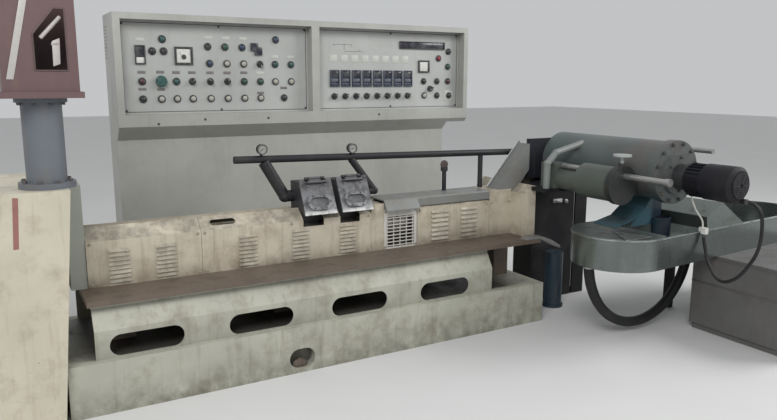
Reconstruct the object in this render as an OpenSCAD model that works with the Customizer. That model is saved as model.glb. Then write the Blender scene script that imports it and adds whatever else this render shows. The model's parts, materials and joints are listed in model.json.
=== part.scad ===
// Plastic extruder line: vented single-screw extruder on a welded plinth, feed tower at the left,
// control console behind, and a die-face pelletizer over a stainless pellet trough at the right.
// The barrel axis runs along X over the origin; the viewer's side is -Y; the floor is Z = 0.

/* [Base] */
// Left end of the plinth
plinth_x0 = -1345; // [-1400:5:-1300]
// Right end of the plinth
plinth_x1 = 1590; // [1560:10:1700]
// Half depth of the plinth
plinth_half = 405; // [390:5:450]
// Height of the plinth
plinth_h = 266; // [240:2:290]
// Underside height of the bed shelf
shelf_z = 530; // [520:2:545]
// Thickness of the bed shelf
shelf_t = 26; // [20:1:32]
// Width of one obround slot in the base panels
slot_w = 360; // [300:10:420]
// Height of one obround slot
slot_h = 110; // [90:2:120]
// Distance between neighbouring slots
slot_pitch = 595; // [560:5:620]

/* [Barrel guard] */
// Half depth of the barrel guard
guard_half = 105; // [100:1:120]
// Height where the guard bends back into its shoulder
guard_bend_z = 795; // [780:5:810]
// Height of the shoulder lip of the guard
guard_lip_z = 860; // [850:5:880]
// Sheet thickness of the guard
guard_t = 5; // [4:1:8]
// Width of one pressed louvre
louvre_w = 106; // [90:2:120]
// Vertical distance between louvres
louvre_pitch = 23; // [22:1:28]
// Height of the lowest louvre
louvre_z = 572; // [565:1:590]

/* [Barrel] */
// Height of the barrel axis
barrel_z = 712; // [700:2:730]
// Outer diameter of the barrel
barrel_d = 130; // [120:2:150]
// Outer diameter of the heater bands
heater_d = 176; // [160:2:180]
// Outer diameter of the vacuum header
header_d = 43; // [38:1:50]

/* [Console] */
// Left end of the control console
console_x0 = -834; // [-900:2:-800]
// Length of the console's upper box
console_w = 2714; // [2600:2:2800]
// Front plane of the upper box
console_y = 900; // [860:5:1000]
// Height of the underside of the upper box
console_z = 1300; // [1250:5:1350]
// Height of the upper box
console_h = 715; // [680:5:740]
// Depth of the upper box
console_d = 360; // [320:10:420]
// Depth of the front panels' recesses
recess_d = 90; // [60:5:110]

/* [Pelletizer] */
// Position of the cutter chamber's axis along the line
drum_x = 2000; // [1950:5:2050]
// Height of the cutter chamber's axis
drum_z = 1060; // [1040:5:1080]
// Diameter of the cutter chamber
drum_d = 364; // [340:2:370]
// Near end of the cutter chamber
drum_y = -1065; // [-1090:5:-1000]
// Diameter of the cutter motor's cowl
motor_d = 208; // [190:2:220]
// Height of the trough's rim
rim_z = 705; // [680:5:720]
// Height of the trough's wall
trough_h = 190; // [170:5:200]
// Radius of the trough's round ends
trough_r = 280; // [260:2:290]
// Distance between the centres of the trough's round ends
trough_len = 1500; // [1200:50:2000]
// Turn of the trough from the line's direction
trough_turn = 4; // [2:0.5:8]
// Height of the water tank's feet
tank_feet = 40; // [30:5:60]
// Bend radius of the drain hose
hose_r = 460; // [430:5:480]
// Diameter of the drain hose
hose_d = 64; // [50:2:76]
// Diameter of the cutter motor's cable
cable_d = 20; // [16:1:24]
// Diameter of the thin tube from the cutter's hub
tube_d = 10; // [8:1:12]

/* [Hidden] */

shelf_top = shelf_z + shelf_t;
panel_x0 = -1213;
panel_x1 = 1183;
panel_t = 6;
bend_y = 368;
bend_z = 410;
panel_top_y = 308;
slot_z = 327;
first_slot_x = -967;
lip_y = 33;
cover_1_x = [-1193, -611];
cover_2_x = [-609, 439];
filler_x = [441, 529];
grille_x = [531, 773];
cover_3_x = [775, 1350];
end_cover_x = [1352, 1536];
cap_z = 868;
rear_end = 1350;
bulk_x = 1536;
bulk_t = 64;
bulk_half = 285;
lid_w = 204;
vent_x = [-20, 220];
lid_foot = [-150, 826];
lid_head = [-50, 1027];
lid_run = lid_head - lid_foot;
lid_slope = atan2(lid_run[1], lid_run[0]);
lid_gap = 5;
sight_v = 74;
lid_t = 8;
hinge_n = lid_gap + lid_t / 2;
hinge_at = lid_head + [-hinge_n * sin(lid_slope), hinge_n * cos(lid_slope)];
pin_d = 8;
knuckle_d = 18;
vent_back = 60;
vent_top = 1012;
header_y = 60;
header_a = [-361, header_y, 1150];
header_b = [1680, header_y, 1102];
recess_left = [-789, 507];
recess_right = [567, 1842];
recess_z = [1378, 1975];
cabinet_x1 = 1700;
cabinet_y = console_y + 90;
console_back = console_y + console_d;
tower_x = [-1760, -1370];
tower_head_x = -1274;
tower_top = 1115;
column_top = 1088;
feed_x = -1352;
feed_y = -290;
feed_bore = 144;
hopper_z = tower_top + 405;
hopper_half = [152, 140];
hopper_top = 2080;
hopper_wall = 12;
window_outline = [[-1372, 1638], [-1242, 1638], [-1242, 1900], [-1285, 1900], [-1372, 1790]];
die_x = [1690, 2330];
die_z = [930, 1203];
die_front = [-100, -70];
clamp_x = 1690;
clamp_z = 985;
clamp_far = -430;
clamp_near = -945;
stem_z = clamp_z + 119;
stem_d = 22;
motor_y = [-1485, -1180];
motor_z = drum_z - 28;
trough_c = [1708, -918];
trough_floor = rim_z - trough_h;
tank_x = [2350, 3380];
tank_y = [-1700, -980];
clip_at = [2140, -1190];
cable_route = [
    [2050, -1492, 940], [2050, -1507, 940], [2052, -1540, 933], [2055, -1567, 915], [2058, -1585, 887],
    [2062, -1592, 855], [2070, -1592, 790], [2077, -1585, 725], [2085, -1567, 660], [2090, -1540, 605],
    [2100, -1500, 545], [2105, -1455, 490], [2110, -1400, 450], [2120, -1345, 435], [2125, -1295, 455],
    [2130, -1255, 500], [2135, -1225, 550], [2140, -1205, 605], [2140, -1190, 660], [2140, -1190, 690]
];
tube_route = [
    [2030, -1165, 945], [2030, -1165, 925], [2035, -1165, 900], [2050, -1170, 870], [2070, -1170, 840],
    [2095, -1175, 810], [2120, -1175, 785], [2135, -1175, 765], [2140, -1175, 745], [2140, -1175, 728]
];

// Box from its lowest to its highest corner
module span(a, b) {
    translate(a) cube(b - a);
}

// Rod along Y between two depths
module rod_y(x, z, y0, y1, d) {
    translate([x, y1, z]) rotate([90, 0, 0]) cylinder(h = y1 - y0, d = d, $fn = 48);
}

// Rod along X between two places
module rod_x(y, z, x0, x1, d) {
    translate([x0, y, z]) rotate([0, 90, 0]) cylinder(h = x1 - x0, d = d, $fn = 48);
}

// Pipe through a list of points, with a round elbow at each bend
module pipe_run(points, d) {
    for (i = [1 : len(points) - 1]) pipe_leg(points[i - 1], points[i], d);
    for (i = [1 : 1 : len(points) - 2]) translate(points[i]) sphere(d = d + 4, $fn = 48);
}

// Straight pipe between two points
module pipe_leg(a, b, d) {
    run = b - a;
    translate(a) rotate([0, acos(run[2] / norm(run)), atan2(run[1], run[0])])
        cylinder(h = norm(run), d = d, $fn = 48);
}

// Direction of a route at its point i
function heading(route, i) =
    let (run = route[min(i + 1, len(route) - 1)] - route[max(i - 1, 0)])
    run / norm(run);

// Ring of n points round the point p, square to the direction t
function ring(p, t, r, n) =
    let (u = cross(t, [1, 0, 0]), v = cross(u, t))
    [for (i = [0 : n - 1]) p + r * (cos(360 * i / n) * u / norm(u) + sin(360 * i / n) * v / norm(v))];

// Round cord along a route
module cord(route, d) {
    n = 12;
    last = len(route) - 1;
    rings = [for (i = [0 : last]) each ring(route[i], heading(route, i), d / 2, n)];
    sides = [for (i = [0 : last - 1], k = [0 : n - 1])
        [i * n + k, i * n + (k + 1) % n, (i + 1) * n + (k + 1) % n, (i + 1) * n + k]];
    ends = [[for (k = [n - 1 : -1 : 0]) k], [for (k = [0 : n - 1]) last * n + k]];
    polyhedron(rings, concat(sides, ends));
}

// Plinth: a welded box closed on all sides, with a cable opening in its front
module plinth() {
    color("darkolivegreen")
    difference() {
        span([plinth_x0, -plinth_half, 0], [plinth_x1, plinth_half, plinth_h]);
        translate([-160, -plinth_half - 1, 84]) rotate([-90, 0, 0]) linear_extrude(61) slot_outline(150, 110);
    }
}

// Obround outline
module slot_outline(w, h) {
    square([w - h, h], center = true);
    for (s = [-1, 1]) translate([s * (w - h) / 2, 0]) circle(d = h, $fn = 48);
}

// Folded base panel, drawn for the front side; its top flange lies under the shelf
module slotted_panel() {
    y0 = plinth_half - 40;
    outline = [
        [-y0, plinth_h], [-bend_y, bend_z], [-panel_top_y, shelf_z - 20], [-panel_top_y, shelf_z],
        [-panel_top_y + 30, shelf_z], [-panel_top_y + 30, shelf_z - panel_t],
        [-panel_top_y + panel_t, shelf_z - panel_t], [-panel_top_y + panel_t, shelf_z - 22],
        [-bend_y + panel_t, bend_z - 2], [-y0 + panel_t, plinth_h]
    ];
    difference() {
        translate([panel_x0, 0, 0]) rotate([90, 0, 90])
            linear_extrude(panel_x1 - panel_x0) polygon(outline);
        for (i = [0 : 3]) translate([first_slot_x + i * slot_pitch, -bend_y - 20, slot_z])
            rotate([-90, 0, 0]) linear_extrude(60) slot_outline(slot_w, slot_h);
    }
}

module front_slotted_panel() {
    color("darkseagreen") slotted_panel();
}

module rear_slotted_panel() {
    color("darkseagreen") mirror([0, 1, 0]) slotted_panel();
}

// Bed shelf: a plate over both slotted panels, with inner posts that carry it on the plinth
module bed_shelf() {
    color("dimgray") {
        span([-1235, -355, shelf_z], [1600, 355, shelf_top]);
        for (x = [-1100, -200, 700, 1400])
            span([x, -110, plinth_h], [x + 120, 110, shelf_z]);
    }
}

// Barrel with its heater bands and end flange, bored for the screw, on feet that stand on the shelf
module barrel() {
    color("dimgray")
    difference() {
        union() {
            rod_x(0, barrel_z, -1193, bulk_x, barrel_d);
            for (x = [-1130, -740, -480, 560, 800, 1180]) rod_x(0, barrel_z, x, x + 150, heater_d);
            for (x = [-900, -250, 1060]) span([x, -45, shelf_top], [x + 50, 45, barrel_z]);
        }
        rod_x(0, barrel_z, 1400, bulk_x + 1, 75);
    }
}

// Outline of the guard sheet seen from the end
module guard_outline() {
    t = guard_t;
    h = guard_half;
    polygon([
        [-h, shelf_top], [-h, guard_bend_z], [-lip_y, guard_lip_z], [-lip_y, guard_lip_z - 14],
        [-lip_y - t, guard_lip_z - 14], [-lip_y - t, guard_lip_z - t - 4],
        [-h + t, guard_bend_z - 3], [-h + t, shelf_top + t], [-h + 24, shelf_top + t], [-h + 24, shelf_top]
    ]);
}

// One pressed louvre: a hood standing out of the sheet, open downwards
module louvre(w) {
    rotate([90, 0, 90]) linear_extrude(w) polygon([[0, 0], [-9, 0], [-9, 3], [0, 15]]);
}

// Column of louvres, x at its left edge and z at the lowest
module louvre_column(x, z, count, w, pitch) {
    for (i = [0 : count - 1]) translate([x, -guard_half, z + i * pitch]) louvre(w);
}

// Slits under the louvres
module slit_column(x, z, count, w, pitch) {
    for (i = [0 : count - 1])
        span([x + 3, -guard_half - 7, z + i * pitch - 1],
             [x + w - 3, -guard_half + guard_t + 1, z + i * pitch + 6]);
}

// Barrel cover between two places, with louvre columns at the given places
module cover(x, columns, z, count, w, pitch) {
    difference() {
        union() {
            translate([x[0], 0, 0]) rotate([90, 0, 90]) linear_extrude(x[1] - x[0]) guard_outline();
            for (c = columns) louvre_column(c, z, count, w, pitch);
        }
        for (c = columns) slit_column(c, z, count, w, pitch);
    }
}

module barrel_cover_1() {
    color("tan") cover(cover_1_x, [-1090, -853], louvre_z, 8, louvre_w, louvre_pitch);
}

// Middle cover, cut out under both vents, with a hand hole in its shoulder
module barrel_cover_2() {
    shoulder = atan2(guard_lip_z - guard_bend_z, guard_half - lip_y);
    color("tan")
    difference() {
        cover(cover_2_x, [-403, -84, 222], louvre_z, 8, louvre_w, louvre_pitch);
        for (x = vent_x) span([x + 8, -guard_half - 1, 755], [x + 140, 0, 900]);
        translate([-480, -(guard_half + lip_y) / 2, (guard_bend_z + guard_lip_z) / 2])
            rotate([shoulder, 0, 0]) translate([0, 0, -20]) linear_extrude(40) slot_outline(144, 40);
    }
}

// Last cover, lower than the others because the grey cap lies over it
module barrel_cover_3() {
    color("tan")
    difference() {
        cover(cover_3_x, [883, 1115], 575, 7, 130, 30);
        span([cover_3_x[0] - 1, -guard_half - 1, 810], [cover_3_x[1] + 1, 0, 900]);
    }
}

// Filler strip: a narrow angle beside the blower section
module filler_strip() {
    color("rosybrown") translate([filler_x[0], 0, 0]) rotate([90, 0, 90]) linear_extrude(filler_x[1] - filler_x[0])
        polygon([[-103, shelf_top], [-103, 848], [28, 848], [28, 840], [-95, 840], [-95, shelf_top]]);
}

// Blower section: a frame with a grille of upright and level bars, and its fan shroud
module blower_grille() {
    x0 = grille_x[0];
    x1 = grille_x[1];
    color("gainsboro") {
        difference() {
            span([x0, -guard_half + 4, shelf_top], [x1, -guard_half + 22, 806]);
            span([x0 + 20, -guard_half, shelf_top + 8], [x1 - 20, -guard_half + 30, 760]);
        }
        for (i = [0 : 4]) translate([x0 + 24 + i * 47, -guard_half + 8, shelf_top + 8]) cube([5, 8, 196]);
        for (i = [0 : 8]) translate([x0 + 20, -guard_half + 4, shelf_top + 16 + i * 22]) cube([x1 - x0 - 40, 4, 6]);
    }
}

// Grey cap over the blower section and the last cover, with a sloped visor over the grille
module guard_cap() {
    h = guard_half;
    cap_x = [grille_x[0], cover_3_x[1]];
    color("slategray") {
        difference() {
            translate([cap_x[0], 0, 0]) rotate([90, 0, 90]) linear_extrude(cap_x[1] - cap_x[0])
                polygon([[-h, 812], [-h, 860], [-h + 8, cap_z], [h - 8, cap_z], [h, 860], [h, 812]]);
            span([cap_x[0] - 1, -h + 6, 811], [cap_x[1] + 1, h - 6, 860]);
        }
        translate([grille_x[0], 0, 0]) rotate([90, 0, 90]) linear_extrude(grille_x[1] - grille_x[0])
            polygon([[-h, 860], [-h, 812], [-h - 38, 800], [-h - 38, 808]]);
    }
}

// Rear guard: the same profile turned round, in one length, cut out behind the vents
module rear_guard() {
    color("tan") mirror([0, 1, 0])
    difference() {
        cover([cover_1_x[0], rear_end], [-1090, -790, -490, 883, 1150], louvre_z, 6, louvre_w, louvre_pitch);
        span([grille_x[0] - 1, -guard_half - 1, 810], [rear_end + 1, 0, 900]);
        span([vent_x[0] - 12, -vent_back - 12, 780], [vent_x[1] + lid_w + 12, 0, 900]);
    }
}

// End cover: cream hood over the barrel's end, open below
module end_cover() {
    color("tan")
    difference() {
        span([end_cover_x[0], -guard_half, shelf_top], [end_cover_x[1], guard_half, cap_z]);
        span([end_cover_x[0] - 1, -guard_half + 6, shelf_top - 1], [end_cover_x[1] + 1, guard_half - 6, cap_z - 6]);
    }
}

// End bulkhead: cross wall with a sloped top, let in for the hood and bored for the barrel
module end_bulkhead() {
    color("tan")
    difference() {
        translate([0, bulk_half, 0]) rotate([90, 0, 0]) linear_extrude(2 * bulk_half)
            polygon([[bulk_x, shelf_top], [bulk_x, 850], [bulk_x + bulk_t, 905], [bulk_x + bulk_t, shelf_top]]);
        span([bulk_x - 1, -112, 845], [bulk_x + bulk_t + 1, 112, 910]);
        rod_x(0, barrel_z, bulk_x - 1, bulk_x + bulk_t + 1, 110);
    }
}

// Melt adapter: heated elbow that rises from the bulkhead to the die block
module melt_adapter() {
    x0 = bulk_x + bulk_t;
    color("darkgoldenrod") translate([0, 60, 0]) rotate([90, 0, 0]) linear_extrude(120)
        polygon([[x0, 640], [x0, 845], [die_x[0], 965], [1760, 1060], [1760, 935], [1655, 640]]);
}

// End hood: slanted duct that rises from the end cover to the die block, with a raised rear flange
module end_hood() {
    color("silver") {
        translate([0, 5, 0]) rotate([90, 0, 0]) linear_extrude(guard_half + 5)
            polygon([[1422, cap_z], [1684, 1170], [1690, 1170], [1690, 990], [1569, 846], [1537, 846], [1537, cap_z]]);
        translate([0, 5, 0]) rotate([90, 0, 0]) linear_extrude(5)
            polygon([[1422, cap_z], [1410, 878], [1676, 1184], [1690, 1184], [1690, 1169], [1684, 1169]]);
    }
}

// Point on the front face of a vent box, s along the slope and n out of it
function on_slope(s, n) = lid_foot + [s * cos(lid_slope) - n * sin(lid_slope),
                                      s * sin(lid_slope) + n * cos(lid_slope)];

// Vent box: upright body on the barrel with a sloped front face, open under its lid, with hinge lugs
module vent_box(x) {
    back = vent_back;
    color("dimgray") {
        difference() {
            translate([x, 0, 0]) rotate([90, 0, 90]) linear_extrude(lid_w)
                polygon([[-28, barrel_z], [-28, 880], lid_foot, on_slope(208, 0), [back, vent_top], [back, barrel_z]]);
            translate([x + 16, 0, 0]) rotate([90, 0, 90]) linear_extrude(lid_w - 32)
                polygon([[-12, 800], [-12, 903], on_slope(22, 1), on_slope(190, 1), [back - 16, 996], [back - 16, 800]]);
            rod_x(0, barrel_z, x - 1, x + lid_w + 1, barrel_d);
        }
        for (lug = [40, 144]) {
            span([x + lug, -58, vent_top - 2], [x + lug + 20, -44, hinge_at[1]]);
            rod_x(hinge_at[0], hinge_at[1], x + lug, x + lug + 20, knuckle_d);
        }
        rod_x(hinge_at[0], hinge_at[1], x + 40, x + 164, pin_d);
    }
}

module vent_boxes() {
    for (x = vent_x) vent_box(x);
}

// Vent lid: sloped plate with an obround sight-glass frame, a pull bar and a knuckle at its top edge
module vent_lid(x) {
    color("slategray")
    difference() {
        union() {
            translate([x, lid_foot[0], lid_foot[1]]) rotate([lid_slope, 0, 0]) translate([0, 0, lid_gap]) {
                difference() {
                    cube([lid_w, norm(lid_run) - 3, lid_t]);
                    translate([lid_w / 2, sight_v, -1]) linear_extrude(lid_t + 2) slot_outline(112, 50);
                    for (lug = [35, 139]) translate([lug, 203, -1]) cube([30, 30, lid_t + 2]);
                }
                translate([lid_w / 2, sight_v, lid_t]) linear_extrude(12) difference() {
                    slot_outline(156, 96);
                    slot_outline(118, 56);
                }
                translate([38, 190, lid_t]) cube([130, 10, 14]);
            }
            rod_x(hinge_at[0], hinge_at[1], x + 67, x + 137, knuckle_d);
        }
        rod_x(hinge_at[0], hinge_at[1], x + 60, x + 144, pin_d + 0.1);
    }
}

module vent_lid_1() {
    vent_lid(vent_x[0]);
}

module vent_lid_2() {
    vent_lid(vent_x[1]);
}

// Small gauge on a stem, its face to the front
module gauge(x, z, stem_z) {
    translate([x, header_y, stem_z]) cylinder(h = z - stem_z, d = 18, $fn = 32);
    rod_y(x, z, header_y - 24, header_y + 6, 58);
}

// Vacuum header behind the vents with its post, two branch pipes, two gauges and a knob post
module vacuum_pipes() {
    left_end = vent_x[0];
    right_end = vent_x[1] + lid_w;
    color("dimgray") {
        pipe_leg(header_a, header_b, header_d);
        translate([1391, header_y, cap_z]) cylinder(h = 240, d = 34, $fn = 48);
        pipe_run([[-184, header_y, 1129], [-74, 24, 925], [left_end, 24, 925]], 68);
        pipe_run([[386, header_y, 1118], [536, 34, 912], [right_end, 34, 912]], 45);
        gauge(-198, 1206, 1150);
        gauge(386, 1186, 1135);
        translate([1089, header_y, cap_z]) cylinder(h = 132, d = 30, $fn = 48);
        translate([1089, header_y, cap_z + 132]) cylinder(h = 26, d = 48, $fn = 48);
    }
}

module console_cabinet() {
    color("gray") span([console_x0, cabinet_y, 0], [cabinet_x1, console_back, console_z - 90]);
}

// Upper console box with a sloped underside and two recessed panel openings
module console_box() {
    x1 = console_x0 + console_w;
    color("lightgray")
    difference() {
        translate([console_x0, 0, 0]) rotate([90, 0, 90]) linear_extrude(console_w)
            polygon([[console_y, console_z], [console_y, console_z + console_h],
                     [console_back, console_z + console_h], [console_back, console_z - 90],
                     [cabinet_y, console_z - 90]]);
        span([cabinet_x1, console_y + 30, console_z - 91], [x1 + 1, console_back + 1, console_z]);
        recess(recess_left, console_y - 1);
        recess(recess_right, console_y - 1);
    }
}

// Room of one recess between two places, from a depth to its back
module recess(x, y0) {
    span([x[0], y0, recess_z[0]], [x[1], console_y + recess_d, recess_z[1]]);
}

module left_control_panel() {
    color("whitesmoke") recess(recess_left, console_y + recess_d - panel_t);
}

module right_control_panel() {
    color("whitesmoke") recess(recess_right, console_y + recess_d - panel_t);
}

// Feed tower: cream housing of the feed end, narrower towards the floor on its right side
module feed_tower() {
    color("wheat") translate([0, 300, 0]) rotate([90, 0, 0]) linear_extrude(750)
        polygon([[tower_x[0], 0], [tower_x[0], tower_top], [tower_head_x, tower_top], [tower_x[1], 0]]);
}

// Feed column: grey-green housing between the tower and the first cover
module feed_column() {
    color("darkseagreen") span([-1272, -100, shelf_top], [-1195, 100, column_top]);
}

// Feed cylinder: vertical flanged pipe from the tower up to the hopper
module feed_cylinder() {
    h = hopper_z - tower_top;
    color("slategray") translate([feed_x, feed_y, tower_top])
    difference() {
        union() {
            cylinder(h = h, d = 172, $fn = 64);
            cylinder(h = 26, d = 244, $fn = 64);
            translate([0, 0, h - 20]) cylinder(h = 20, d = 220, $fn = 64);
        }
        translate([0, 0, 12]) cylinder(h = h, d = feed_bore, $fn = 64);
    }
}

// Feed hopper: open steel box on a foot flange, with a window in its front that has one cut corner
module feed_hopper() {
    a = [feed_x - hopper_half[0], feed_y - hopper_half[1]];
    b = [feed_x + hopper_half[0], feed_y + hopper_half[1]];
    wall = hopper_wall;
    color("rosybrown")
    difference() {
        union() {
            span([a[0], a[1], hopper_z], [b[0], b[1], hopper_top]);
            span([a[0] - 16, a[1] - 16, hopper_z], [b[0] + 16, b[1] + 16, hopper_z + 27]);
        }
        span([a[0] + wall, a[1] + wall, hopper_z + wall], [b[0] - wall, b[1] - wall, hopper_top + 1]);
        translate([0, a[1] + wall + 1, 0]) rotate([90, 0, 0]) linear_extrude(wall + 2) polygon(window_outline);
        translate([feed_x, feed_y, hopper_z - 1]) cylinder(h = 20, d = feed_bore, $fn = 64);
    }
}

module drive_base() {
    color("darkolivegreen") span([-2560, -300, 0], [tower_x[0], 300, 420]);
}

// Drive motor: drum on a foot block, with a fan cowl and a terminal box, coupled into the feed tower
module drive_motor() {
    color("slategray") {
        rod_x(0, 660, -2400, tower_x[0], 380);
        rod_x(0, 660, -2500, -2400, 400);
        span([-2300, -200, 420], [-1900, 200, 520]);
        span([-2220, -290, 620], [-2020, -150, 780]);
    }
}

// Die block: front plate over the pelletizer's flange and the smaller block behind it
module die_block() {
    color("darkslateblue") {
        span([die_x[0], die_front[0], die_z[0]], [die_x[1], die_front[1], die_z[1]]);
        span([1760, die_front[1], die_z[0]], [2260, 100, 1140]);
    }
}

// Die stand: broad column under the die block, a slim post beside it and the clamp's bracket plate
module die_stand() {
    color("dimgray") {
        span([1800, -40, 0], [2200, 160, die_z[0]]);
        span([2215, -40, 0], [2330, 60, die_z[0]]);
        translate([0, 0, 880]) linear_extrude(25) polygon([
            [1555, clamp_far], [1850, clamp_far], [1850, -30], [1765, -30],
            [1765, -114], [1604, -114], [1604, -290], [1555, -290]]);
    }
}

module blue_cylinder() {
    color("steelblue") translate([1880, -190, 0]) {
        cylinder(h = 18, d = 150, $fn = 64);
        cylinder(h = 400, d = 130, $fn = 64);
    }
}

// Cutter chamber: drum on the die block with its near flange, adapter ring and motor hub
module cutter_chamber() {
    flange_y = drum_y + 55;
    color("slategray") {
        rod_y(drum_x, drum_z, flange_y, die_front[0], drum_d);
        rod_y(drum_x, drum_z, drum_y, flange_y, 384);
        rod_y(drum_x, drum_z - 8, drum_y - 30, drum_y, 250);
        rod_y(drum_x, motor_z + 8, motor_y[1], drum_y - 30, 156);
        translate(tube_route[0]) cylinder(h = 35, d = 20, $fn = 32);
    }
}

// Cutter motor: housing with lengthwise fins and a fan cowl with a bevelled end
module cutter_motor() {
    cowl_y = motor_y[0] + 195;
    color("black") {
        rod_y(drum_x, motor_z, cowl_y, motor_y[1], motor_d - 26);
        for (a = [0 : 15 : 345]) translate([drum_x, 0, motor_z]) rotate([0, a, 0])
            span([-2, cowl_y, 80], [2, motor_y[1] - 6, motor_d / 2 - 5]);
        rod_y(drum_x, motor_z, motor_y[0] + 16, cowl_y, motor_d);
        rod_y(cable_route[0][0], cable_route[0][2], cable_route[0][1], cowl_y - 30, 30);
        translate([drum_x, motor_y[0] + 16, motor_z]) rotate([90, 0, 0])
            cylinder(h = 16, d1 = motor_d, d2 = motor_d - 40, $fn = 64);
    }
}

// Guide rods: one beside the clamp, in two lengths with an end collar, and one on the far side
module guide_rods() {
    color("silver") {
        rod_y(clamp_x + 10, 1050, -640, clamp_far, 36);
        rod_y(clamp_x + 10, 1040, -1240, clamp_near, 36);
        rod_y(clamp_x + 10, 1040, -1268, -1240, 44);
        rod_y(2235, 1180, -1136, die_front[0], 32);
    }
}

// Clamp cylinder: thin neck, thick sleeve and near flange, on a block that stands on the bracket plate
module clamp_cylinder() {
    color("gray") {
        rod_y(clamp_x, clamp_z - 20, -640, clamp_far, 130);
        rod_y(clamp_x, clamp_z, -905, -640, 214);
        span([1626, clamp_far, 905], [1733, -300, 1070]);
        difference() {
            union() {
                rod_y(clamp_x, clamp_z, clamp_near, -905, 236);
                translate([clamp_x, -925, stem_z - 20]) cylinder(h = 34, d = 38, $fn = 48);
            }
            translate([clamp_x, -925, stem_z - 12]) cylinder(h = 40, d = stem_d + 0.1, $fn = 48);
        }
    }
}

// Clamp handwheel: disc with a rounded edge on a stem that turns on the sleeve
module clamp_handwheel() {
    color("gray") translate([clamp_x, -925, stem_z]) {
        translate([0, 0, -10]) cylinder(h = 64, d = stem_d, $fn = 48);
        translate([0, 0, 54]) cylinder(h = 12, d = 108, $fn = 64);
    }
}

// Water arm: pipe from the cutter chamber over the clamp's block and down to the bracket plate
module water_arm() {
    color("gray")
    difference() {
        pipe_run([[1890, -400, 1188], [1657, -400, 1134], [1585, -400, 1068], [1585, -400, 905]], 45);
        rod_y(drum_x, drum_z, -600, -200, drum_d);
    }
}

// Pellet chute: curved slide under the cutter chamber with a near wall and a round outlet
module pellet_chute() {
    color("steelblue")
    difference() {
        union() {
            translate([0, -680, 0]) rotate([90, 0, 0]) linear_extrude(190) polygon([
                [1738, 716], [1890, 748], [1965, 803], [2010, 862], [2050, 902], [2057, 897],
                [2016, 857], [1971, 798], [1893, 742], [1738, 710]]);
            translate([0, -870, 0]) rotate([90, 0, 0]) linear_extrude(6) polygon([
                [1860, 706], [1965, 800], [2050, 900], [2130, 900], [2130, 760], [2060, 706]]);
            translate([2108, -900, 600]) cylinder(h = 150, d = 116, $fn = 64);
        }
        rod_y(drum_x, drum_z, drum_y - 1, 0, drum_d);
        translate([2108, -900, 599]) cylinder(h = 152, d = 102, $fn = 64);
    }
}

// Racetrack outline of the trough
module track(r) {
    circle(r = r, $fn = 96);
    translate([trough_len, 0]) circle(r = r, $fn = 96);
    translate([0, -r]) square([trough_len, 2 * r]);
}

// Pellet trough: stainless pan with round ends and a rolled rim
module pellet_trough() {
    color("silver") translate([trough_c[0], trough_c[1], trough_floor]) rotate([0, 0, trough_turn]) {
        difference() {
            linear_extrude(trough_h) track(trough_r);
            translate([0, 0, 4]) linear_extrude(trough_h) track(trough_r - 4);
        }
        translate([0, 0, trough_h - 8]) linear_extrude(8) difference() {
            track(trough_r + 6);
            track(trough_r - 1);
        }
    }
}

// Trough covers: flat lid over the left end and a folded ridge cover beside the motor
module trough_covers() {
    color("gainsboro") {
        translate([trough_c[0], trough_c[1], rim_z]) rotate([0, 0, trough_turn]) linear_extrude(4)
        difference() {
            circle(r = trough_r, $fn = 96);
            translate([95, -trough_r]) square(2 * trough_r);
        }
        translate([trough_c[0], trough_c[1], rim_z]) rotate([0, 0, trough_turn]) difference() {
            translate([0, trough_r, 0]) rotate([90, 0, 0]) linear_extrude(2 * trough_r)
                polygon([[477, 0], [462, 80], [622, 155], [875, 0]]);
            translate([0, trough_r + 1, 0]) rotate([90, 0, 0]) linear_extrude(2 * trough_r - 4)
                polygon([[483, -1], [469, 77], [622, 149], [864, -1]]);
        }
    }
}

// Water tank: closed sheet tank on a recessed foot frame
module water_tank() {
    color("lightgray") {
        span([tank_x[0], tank_y[0], tank_feet], [tank_x[1], tank_y[1], trough_floor]);
        span([tank_x[0] + 15, tank_y[0] + 15, 0], [tank_x[1] - 15, tank_y[1] - 15, tank_feet]);
    }
}

// Trough stand: rear legs under the trough, with arms to the tank
module trough_stand() {
    color("dimgray")
    for (x = [2560, 3200]) {
        span([x, -650, 0], [x + 50, -600, trough_floor]);
        span([x, tank_y[1], trough_floor - 50], [x + 50, -650, trough_floor]);
    }
}

// Drain hose: thick hose that hangs under the trough in one arc
module drain_hose() {
    color("black")
    translate([2000, -850, trough_floor + 8]) rotate([90, 0, 0]) rotate([0, 0, 181.15])
        rotate_extrude(angle = 177.7) translate([hose_r, 0]) circle(d = hose_d, $fn = 48);
}

// Cable clip: block hooked over the trough's rim with the thin tube that rises from it to the hub
module cable_clip() {
    x = clip_at[0];
    y = clip_at[1];
    color("dimgray") {
        span([x - 15, y - 16, 690], [x + 15, y + 13.5, rim_z]);
        span([x - 15, y - 16, rim_z], [x + 15, y + 30, 728]);
        cord(tube_route, tube_d);
    }
}

// Cable of the cutter motor: hangs in a loop outside the trough, up to the clip
module motor_cable() {
    color("black") cord(cable_route, cable_d);
}

plinth();
front_slotted_panel();
rear_slotted_panel();
bed_shelf();
barrel();
barrel_cover_1();
barrel_cover_2();
barrel_cover_3();
filler_strip();
blower_grille();
guard_cap();
rear_guard();
end_cover();
end_bulkhead();
end_hood();
melt_adapter();
vent_boxes();
vent_lid_1();
vent_lid_2();
vacuum_pipes();
console_cabinet();
console_box();
left_control_panel();
right_control_panel();
feed_tower();
feed_column();
feed_cylinder();
feed_hopper();
drive_base();
drive_motor();
die_block();
die_stand();
blue_cylinder();
cutter_chamber();
cutter_motor();
guide_rods();
clamp_cylinder();
clamp_handwheel();
water_arm();
pellet_chute();
pellet_trough();
trough_covers();
water_tank();
trough_stand();
drain_hose();
cable_clip();
motor_cable();
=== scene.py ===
"""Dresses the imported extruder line: finishes, console controls, bolts, gauges and the small trim."""
import json
import math

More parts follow.
